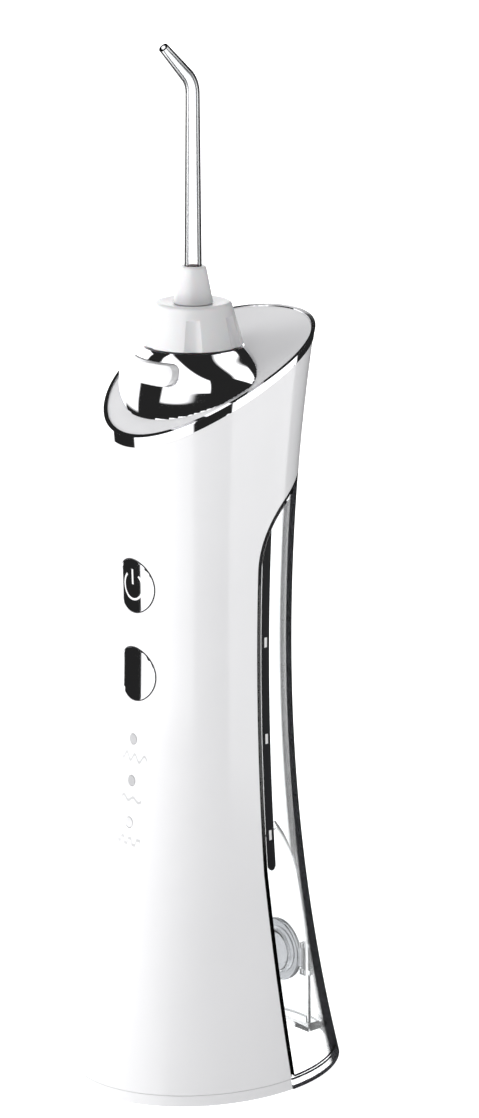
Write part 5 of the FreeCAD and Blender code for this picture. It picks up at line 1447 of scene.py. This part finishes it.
    def tube(self) -> None:
        """The clear jet tube: drawn up, spun round its bend and drawn out to its tip."""
        bottom = low("nozzle_tube").z
        heights = [bottom + (self.bend_z - bottom) * i / 12 for i in range(13)]
        rings = []
        for z in heights:
            share = (z - bottom) / (self.bend_z - bottom)
            radius = self.tube_foot + (self.tube_neck - self.tube_foot) * share
            rings.append(Ring(z, radius, radius, self.axis_y))
        tube = stack("jet_tube", rings, 48, filled=False)
        work_on(tube)
        bpy.ops.object.mode_set(mode="EDIT")
        bpy.ops.mesh.select_mode(type="VERT")
        bpy.ops.mesh.select_all(action="DESELECT")
        bpy.ops.object.mode_set(mode="OBJECT")
        for vertex in tube.data.vertices:
            vertex.select = vertex.co.z > self.bend_z - 0.01 * MM
        bpy.ops.object.mode_set(mode="EDIT")
        pivot = Vector((0, self.axis_y - self.bend_radius, self.bend_z))
        for _ in range(self.bend_steps):
            bpy.ops.mesh.extrude_region_move(TRANSFORM_OT_translate={"value": (0, 0, 0)})
            turn = -self.bend_turn / self.bend_steps
            bpy.ops.transform.rotate(value=turn, orient_axis="X", center_override=pivot)
        along = Vector((0, -math.sin(self.bend_turn), math.cos(self.bend_turn)))
        out = Vector((0, math.cos(self.bend_turn), math.sin(self.bend_turn)))
        here = pivot + out * self.bend_radius
        step = along * self.tip_long / self.tip_steps
        before = self.tube_neck
        for i in range(1, self.tip_steps + 1):
            radius = self.tube_neck + (self.tube_mouth - self.tube_neck) * i / self.tip_steps
            here = here + step
            bpy.ops.mesh.extrude_region_move(TRANSFORM_OT_translate={"value": step})
            bpy.ops.transform.resize(value=(radius / before,) * 3, center_override=here)
            before = radius
        bpy.ops.mesh.select_all(action="SELECT")
        bpy.ops.mesh.normals_make_consistent(inside=False)
        bpy.ops.object.mode_set(mode="OBJECT")
        wall = tube.modifiers.new("wall", "SOLIDIFY")
        wall.thickness = self.tube_wall
        wall.offset = -1.0
        bpy.ops.object.modifier_apply(modifier=wall.name)
        face_outwards(tube)
        soften(tube, self.tube_bevel, 3, 60)
        smooth(tube)
        hand_over(tube, Finishes.CLEAR_TUBE, "nozzle", "clear_tube", "nozzle_tube")


# ---------------------------------------------------------------- tank
@dataclass
class Tank:
    """The clear tank with its strips, niche and filling cap."""

    outline: Outline
    wall: float = 2.0 * MM
    floor: float = 2.6 * MM
    niche_y: float = 27.8 * MM
    niche_low: float = 8.0 * MM
    niche_shoulder: float = 40.0 * MM
    niche_high: float = 64.0 * MM
    niche_half: float = 12.8 * MM
    port_radius: float = 6.5 * MM
    strip_deep: float = 0.6 * MM
    strip_gap: float = 0.03 * MM
    shoulder_line: float = 0.75 * MM
    tick_high: float = 1.4 * MM
    tick_half: float = 0.5 * MM
    tick_gap: float = 0.02 * MM
    strip_reach: float = 1.3 * MM
    strip_bevel: float = 0.12 * MM
    vessel_bevel: float = 0.9 * MM
    cap_radius: float = 9.2 * MM
    cap_gap: float = 0.15 * MM
    cap_thick: float = 2.15 * MM
    dish_radius: float = 6.9 * MM
    dish_deep: float = 0.9 * MM
    knob_radius: float = 4.6 * MM
    plug_radius: float = 6.4 * MM
    plug_tip: float = 5.9 * MM
    plug_deep: float = 2.0 * MM
    hinge_half: float = 3.0 * MM
    eye_radius: float = 1.1 * MM
    pin_hole: float = 0.55 * MM
    tab_x: tuple[float, float] = (-10.4 * MM, -7.4 * MM)
    tab_half: float = 2.5 * MM

    def build(self) -> None:
        """Builds every piece of the tank."""
        self.vessel()
        self.strips()
        self.cap()

    def niche(self, grow: float) -> Object:
        """The pointed niche in the back, pushed out backwards.

        Args:
            grow: How much larger it is.

        Returns:
            A closed prism.
        """
        y, half = self.niche_y - grow, self.niche_half + grow
        bottom, shoulder, point = self.niche_low - grow, self.niche_shoulder, self.niche_high + grow
        rise = point - shoulder
        radius = (half**2 + rise**2) / (2 * half)
        outline = [Vector((-half, y, bottom)), Vector((half, y, bottom))]
        turn = math.asin(rise / radius)
        steps = 14
        for i in range(steps + 1):
            a = turn * i / steps
            outline.append(Vector((half - radius + radius * math.cos(a), y, shoulder + radius * math.sin(a))))
        for i in range(steps - 1, -1, -1):
            a = turn * i / steps
            outline.append(Vector((-(half - radius + radius * math.cos(a)), y, shoulder + radius * math.sin(a))))
        return plate("niche", outline, (0, FAR, 0))

    def vessel(self) -> None:
        """The clear vessel in one piece, with its niche, port and strip beds."""
        top = self.outline.shoulder_z + 40 * MM
        tank = self.outline.solid("clear_vessel", 0.0, 0.0, top)
        work(tank, Cut.KEEP_COMMON, self.outline.tank_side(0.0))
        work(tank, Cut.TAKE_AWAY, self.niche(0.0))
        soften(tank, self.vessel_bevel, 4, 45)
        room = self.outline.solid("room", self.wall, self.floor, top)
        work(room, Cut.KEEP_COMMON, self.outline.tank_side(-self.wall, self.floor - 5 * MM))
        work(room, Cut.TAKE_AWAY, self.niche(self.wall))
        work(tank, Cut.TAKE_AWAY, room)
        port_z = (low("cap_hinge_pin").z + high("cap_hinge_pin").z) / 2
        inside, outside = (0, self.niche_y - 5 * MM, port_z), (0, self.niche_y + 5 * MM, port_z)
        work(tank, Cut.TAKE_AWAY, rod("port", inside, outside, self.port_radius))
        work(tank, Cut.TAKE_AWAY, self.strip_block(self.strip_gap))
        smooth(tank)
        hand_over(tank, Finishes.CLEAR_TANK, "tank", "clear_tank", "tank_shell", "tank_front")

    def strip_block(self, grow: float) -> Object:
        """Both level strips and the line along the shoulder, in the tank's outer surface.

        Args:
            grow: How much larger they are.

        Returns:
            The bars in one object.
        """
        box_low, box_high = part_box("level_strips")
        middle, radius = (box_low.y + box_high.y) / 2, (box_high.y - box_low.y) / 2 + grow
        end_z, top_z = box_low.z + radius - grow, box_high.z + 10 * MM
        outline = [Vector((-FAR, middle + radius, top_z)), Vector((-FAR, middle - radius, top_z))]
        for i in range(17):
            a = math.pi + math.pi * i / 16
            outline.append(Vector((-FAR, middle + radius * math.cos(a), end_z + radius * math.sin(a))))
        bar = plate("strips", outline, (2 * FAR, 0, 0))
        work(bar, Cut.KEEP_COMMON, self.outline.tank_side(grow - self.strip_reach))
        line = self.outline.tank_side(grow - 0.1 * MM)
        work(line, Cut.TAKE_AWAY, self.outline.tank_side(-self.shoulder_line - grow))
        lowest = (-FAR, -FAR, self.outline.shoulder_z - 4 * MM)
        work(line, Cut.KEEP_COMMON, block("above", lowest, (FAR, FAR, box_high.z + 40 * MM)))
        work(bar, Cut.JOIN, line)
        z0, z1 = box_low.z - 4 * MM, self.outline.shoulder_z + 36 * MM
        layer = self.outline.layer("layer", grow / 2, self.strip_deep + grow, z0, z1)
        return work(bar, Cut.KEEP_COMMON, layer)

    def strips(self) -> None:
        """The dark level strips and their pale marks."""
        box_low, box_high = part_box("level_ticks")
        middle_y = (box_low.y + box_high.y) / 2
        first, last = box_low.z + self.tick_high, box_high.z - self.tick_high
        bars = self.strip_block(0.0)
        bars.name = "dark_level_strips"
        marks: Object | None = None
        for i in range(3):
            z = first + (last - first) * i / 2
            for grow in (self.tick_gap, 0.0):
                lowest = (-FAR, middle_y - self.tick_half - grow, z - self.tick_high - grow)
                highest = (FAR, middle_y + self.tick_half + grow, z + self.tick_high + grow)
                mark = block("mark", lowest, highest)
                if grow:
                    work(bars, Cut.TAKE_AWAY, mark)
                elif marks is None:
                    marks = mark
                else:
                    work(marks, Cut.JOIN, mark)
        assert marks is not None
        z0, z1 = box_low.z - 4 * MM, box_high.z + 4 * MM
        work(marks, Cut.KEEP_COMMON, self.outline.layer("layer", 0.01 * MM, self.strip_deep, z0, z1))
        marks.name = "pale_level_marks"
        soften(bars, self.strip_bevel)
        hand_over(smooth(bars), Finishes.DARK_STRIP, "tank", "dark_strip", "level_strips")
        hand_over(smooth(marks), Finishes.WHITE_TICK, "tank", "white_tick", "level_ticks")

    def cap(self) -> None:
        """The filling cap: a dished disc with a button, its plug, its tab and its hinge eye."""
        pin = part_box("cap_hinge_pin")
        pin_x, pin_y, z = ((pin[0][i] + pin[1][i]) / 2 for i in range(3))
        y0, y1 = self.niche_y + self.cap_gap, self.niche_y + self.cap_thick
        disc = rod("filling_cap", (0, y0, z), (0, y1, z), self.cap_radius, sides=128)
        soften(disc, 0.5 * MM, 3)
        dish = rod("dish", (0, y1 - self.dish_deep, z), (0, y1 + MM, z), self.dish_radius, sides=128)
        knob = rod("button", (0, y0 + 0.5 * MM, z), (0, y1 - 0.2 * MM, z), self.knob_radius, sides=96)
        work(disc, Cut.TAKE_AWAY, dish)
        work(disc, Cut.JOIN, knob)
        root, end = (0, y0 + 0.3 * MM, z), (0, self.niche_y - self.plug_deep, z)
        work(disc, Cut.JOIN, rod("plug", root, end, self.plug_radius, self.plug_tip))
        z0, z1 = z - self.hinge_half, z + self.hinge_half
        arm = block("arm", (7.7 * MM, pin_y - 0.7 * MM, z0), (pin_x, pin_y + 0.7 * MM, z1))
        eye = rod("eye", (pin_x, pin_y, z0), (pin_x, pin_y, z1), self.eye_radius, sides=40)
        left, right = self.tab_x
        tab = block("tab", (left, y0 + 0.8 * MM, z - self.tab_half), (right, y1, z + self.tab_half))
        work(disc, Cut.JOIN, arm, eye, tab)
        below, above = (pin_x, pin_y, z0 - SPARE), (pin_x, pin_y, z1 + SPARE)
        work(disc, Cut.TAKE_AWAY, rod("hole", below, above, self.pin_hole, sides=32))
        soften(disc, 0.2 * MM, 2, 50)
        smooth(disc)
        hand_over(disc, Finishes.CLEAR_CAP, "cap", "clear_cap", "fill_cap")


# ---------------------------------------------------------------- works
class Works:
    """Finishes for the frame's own nodes, by their material slot."""

    SLOTS: dict[str, Finish] = {
        "white_frame": Finishes.WHITE_FRAME,
        "steel": Finishes.STEEL,
        "spring_steel": Finishes.SPRING_STEEL,
        "motor_steel": Finishes.MOTOR_STEEL,
        "magnet": Finishes.MAGNET,
        "brass": Finishes.BRASS,
        "rubber": Finishes.RUBBER,
        "black_plastic": Finishes.BLACK_PLASTIC,
        "gear_plastic": Finishes.GEAR_PLASTIC,
        "board": Finishes.BOARD,
        "cell_sleeve": Finishes.CELL_SLEEVE,
        "led": Finishes.LED,
        "hose_silicone": Finishes.HOSE,
        "clear_tank": Finishes.CLEAR_TANK,
    }

    def dress(self, nodes: Iterable[str]) -> None:
        """Gives every node whose material slot has a finish listed here that finish.

        Args:
            nodes: The frame's nodes.
        """
        by_node = {part["node"]: part["material_slot"] for part in frame["record"]["subparts"]}
        for node in nodes:
            finish = self.SLOTS.get(by_node[node])
            if finish is None:
                continue
            for place in frame["nodes"][node].material_slots:
                place.material = finish.material()
            LOG.info("%s keeps its shape, in %s", node, finish.name)


# ---------------------------------------------------------------- studio
@dataclass(frozen=True)
class Card:
    """One bright card far round the object, by its directions.

    Args:
        left: Where it starts, in degrees round from the front.
        right: Where it ends.
        low: How far up its lower edge is, as the sine of its angle.
        high: How far up its upper edge is.
    """

    left: float
    right: float
    low: float
    high: float


@dataclass
class Studio:
    """Floor, light and camera."""

    eye: tuple[float, float, float] = (0.8345, -0.7005, 0.4238)
    aim: tuple[float, float, float] = (-0.73696, 0.62979, -0.24568)
    lens: float = 130.2
    sensor: float = 36.0
    cards: tuple[Card, ...] = (
        Card(-140, -57, -0.14, 0.50),
        Card(-140, -80, -0.70, -0.10),
        Card(-34, 48, -0.70, -0.22),
        Card(-29, 32, 0.05, 0.86),
        Card(92, 172, -0.70, -0.20),
        Card(148, 198, 0.60, 0.93),
    )
    card_light: float = 1.6
    gap_light: float = 0.02
    soft_side: float = 0.02
    soft_height: float = 0.015
    ambient: Colour = (0.37, 0.37, 0.375, 1)
    floor_size: float = 6.0
    sight: float = 20.0

    def build(self) -> None:
        """Sets up everything round the object."""
        self.floor()
        self.sky()
        self.lamp("key_light", (-0.68, -0.82, 0.36), (0.7, 1.0), 6.2)
        self.lamp("front_light", (0.42, -0.95, 0.42), (0.14, 0.5), 0.7)
        self.lamp("side_light", (0.98, 0.0, 0.62), (0.12, 0.4), 0.3)
        self.lamp("low_light", (-0.22, -0.42, 0.03), (0.3, 0.06), 0.5)
        self.lamp("top_light", (0.0, 0.0, 1.05), (0.4, 0.4), 1.0)
        self.lamp("back_light", (-0.95, 0.47, 0.95), (0.9, 0.9), 3.5)
        self.camera()

    def floor(self) -> None:
        """A pale floor."""
        deselect_all()
        bpy.ops.mesh.primitive_plane_add(size=self.floor_size)
        floor = settle(bpy.context.object, "studio_floor")
        edit_all(floor)
        bpy.ops.mesh.subdivide(number_cuts=4)
        bpy.ops.object.mode_set(mode="OBJECT")
        floor.data.materials.append(Finishes.FLOOR.material())
        floor.visible_glossy = False

    def sky(self) -> None:
        """A white backdrop for the eye, soft light, and cards for the bright metal to mirror."""
        world = bpy.data.worlds.new("studio")
        bpy.context.scene.world = world
        world.use_nodes = True
        tree = world.node_tree
        path = tree.nodes.new("ShaderNodeLightPath")
        shiny = self.blend(tree, path.outputs["Is Glossy Ray"], self.ambient, None)
        tree.links.new(self.mirrored(tree), shiny.inputs[MIX_SECOND])
        either = tree.nodes.new("ShaderNodeMath")
        either.operation = "MAXIMUM"
        tree.links.new(path.outputs["Is Camera Ray"], either.inputs[0])
        tree.links.new(path.outputs["Is Transmission Ray"], either.inputs[1])
        seen = self.blend(tree, either.outputs[0], None, WHITE)
        tree.links.new(shiny.outputs[MIX_RESULT], seen.inputs[MIX_FIRST])
        tree.links.new(seen.outputs[MIX_RESULT], tree.nodes["Background"].inputs["Color"])

    def blend(self, tree: NodeTree, factor: NodeSocket, first: Colour | None, second: Colour | None) -> Node:
        """A mix of two colours.

        Args:
            tree: The world's nodes.
            factor: How much of the second colour.
            first: The first colour, or None where it is linked.
            second: The second colour, or None where it is linked.

        Returns:
            The mix node.
        """
        mix = tree.nodes.new("ShaderNodeMix")
        mix.data_type = "RGBA"
        tree.links.new(factor, mix.inputs["Factor"])
        for place, colour in ((MIX_FIRST, first), (MIX_SECOND, second)):
            if colour:
                mix.inputs[place].default_value = colour
        return mix

    @staticmethod
    def sum_up(tree: NodeTree, how: str, first: NodeSocket | float, second: NodeSocket | float) -> NodeSocket:
        """One step of arithmetic.

        Args:
            tree: The world's nodes.
            how: The math node's operation.
            first: The first number, or where it comes from.
            second: The second number, or where it comes from.

        Returns:
            The result.
        """
        step = tree.nodes.new("ShaderNodeMath")
        step.operation = how
        for place, value in enumerate((first, second)):
            if isinstance(value, NodeSocket):
                tree.links.new(value, step.inputs[place])
            else:
                step.inputs[place].default_value = value
        return step.outputs[0]

    def window(
        self, tree: NodeTree, value: NodeSocket, middle: float, half: float, edge: float
    ) -> NodeSocket:
        """1 where a value is within half of the middle, and 0 outside, with a soft edge.

        Args:
            tree: The world's nodes.
            value: The value.
            middle: The middle of the window.
            half: Half its width.
            edge: Half the width of its soft edge.

        Returns:
            The window's value.
        """
        off = self.sum_up(tree, "ABSOLUTE", self.sum_up(tree, "SUBTRACT", value, middle), 0.0)
        fade = tree.nodes.new("ShaderNodeMapRange")
        fade.inputs["From Min"].default_value = half + edge
        fade.inputs["From Max"].default_value = half - edge
        tree.links.new(off, fade.inputs["Value"])
        return fade.outputs["Result"]

    def mirrored(self, tree: NodeTree) -> NodeSocket:
        """Bright cards with dark gaps between them, for the bright metal to mirror.

        Args:
            tree: The world's nodes.

        Returns:
            The light by direction.
        """
        place = tree.nodes.new("ShaderNodeTexCoord")
        parts = tree.nodes.new("ShaderNodeSeparateXYZ")
        tree.links.new(place.outputs["Generated"], parts.inputs["Vector"])
        sideways, forward = parts.outputs["X"], self.sum_up(tree, "MULTIPLY", parts.outputs["Y"], -1.0)
        total: NodeSocket | None = None
        for card in self.cards:
            middle = math.radians(card.left + card.right) / 2
            near = self.sum_up(tree, "MULTIPLY", sideways, math.cos(middle))
            far = self.sum_up(tree, "MULTIPLY", forward, math.sin(middle))
            turned_x = self.sum_up(tree, "SUBTRACT", near, far)
            near = self.sum_up(tree, "MULTIPLY", forward, math.cos(middle))
            far = self.sum_up(tree, "MULTIPLY", sideways, math.sin(middle))
            turned_y = self.sum_up(tree, "ADD", near, far)
            turn = self.sum_up(tree, "ARCTAN2", turned_x, turned_y)
            half = math.radians(card.right - card.left) / 2
            across = self.window(tree, turn, 0.0, half, self.soft_side)
            height, reach = (card.low + card.high) / 2, (card.high - card.low) / 2
            up = self.window(tree, parts.outputs["Z"], height, reach, self.soft_height)
            lit = self.sum_up(tree, "MULTIPLY", across, up)
            total = lit if total is None else self.sum_up(tree, "MAXIMUM", total, lit)
        assert total is not None
        bright = self.sum_up(tree, "MULTIPLY", total, self.card_light)
        return self.sum_up(tree, "ADD", bright, self.gap_light)

    def lamp(self, name: str, place: Sequence[float], size: tuple[float, float], power: float) -> None:
        """One soft rectangular light that faces the object's middle.

        Args:
            name: Its name.
            place: Where it stands.
            size: Its width and height.
            power: Its power in watts.
        """
        data = bpy.data.lights.new(name, "AREA")
        data.shape = "RECTANGLE"
        data.size, data.size_y = size
        data.energy = power
        light = bpy.data.objects.new(name, data)
        bpy.context.scene.collection.objects.link(light)
        light.location = place
        light.visible_glossy = False
        middle = (CAD_BOX[0] + CAD_BOX[1]) / 2
        light.rotation_euler = (middle - Vector(place)).to_track_quat("-Z", "Y").to_euler()

    def camera(self) -> None:
        """The camera, in front and to the right of the object."""
        data = bpy.data.cameras.new("view")
        data.lens = self.lens
        data.sensor_width = self.sensor
        data.clip_end = self.sight
        view = bpy.data.objects.new("view", data)
        bpy.context.scene.collection.objects.link(view)
        view.location = self.eye
        view.rotation_euler = Vector(self.aim).to_track_quat("-Z", "Y").to_euler()
        bpy.context.scene.camera = view
        bpy.context.scene.view_settings.view_transform = "Standard"


def main() -> None:
    """Builds the object from the handle up, and the studio round it."""
    logging.basicConfig(level=logging.INFO, format="%(message)s")
    outline = Outline()
    Handle(outline).build()
    Controls(outline).build()
    Head(outline).build()
    Tank(outline).build()
    Works().dress(frame["nodes"])
    Studio().build()


if __name__ == "__main__":
    main()
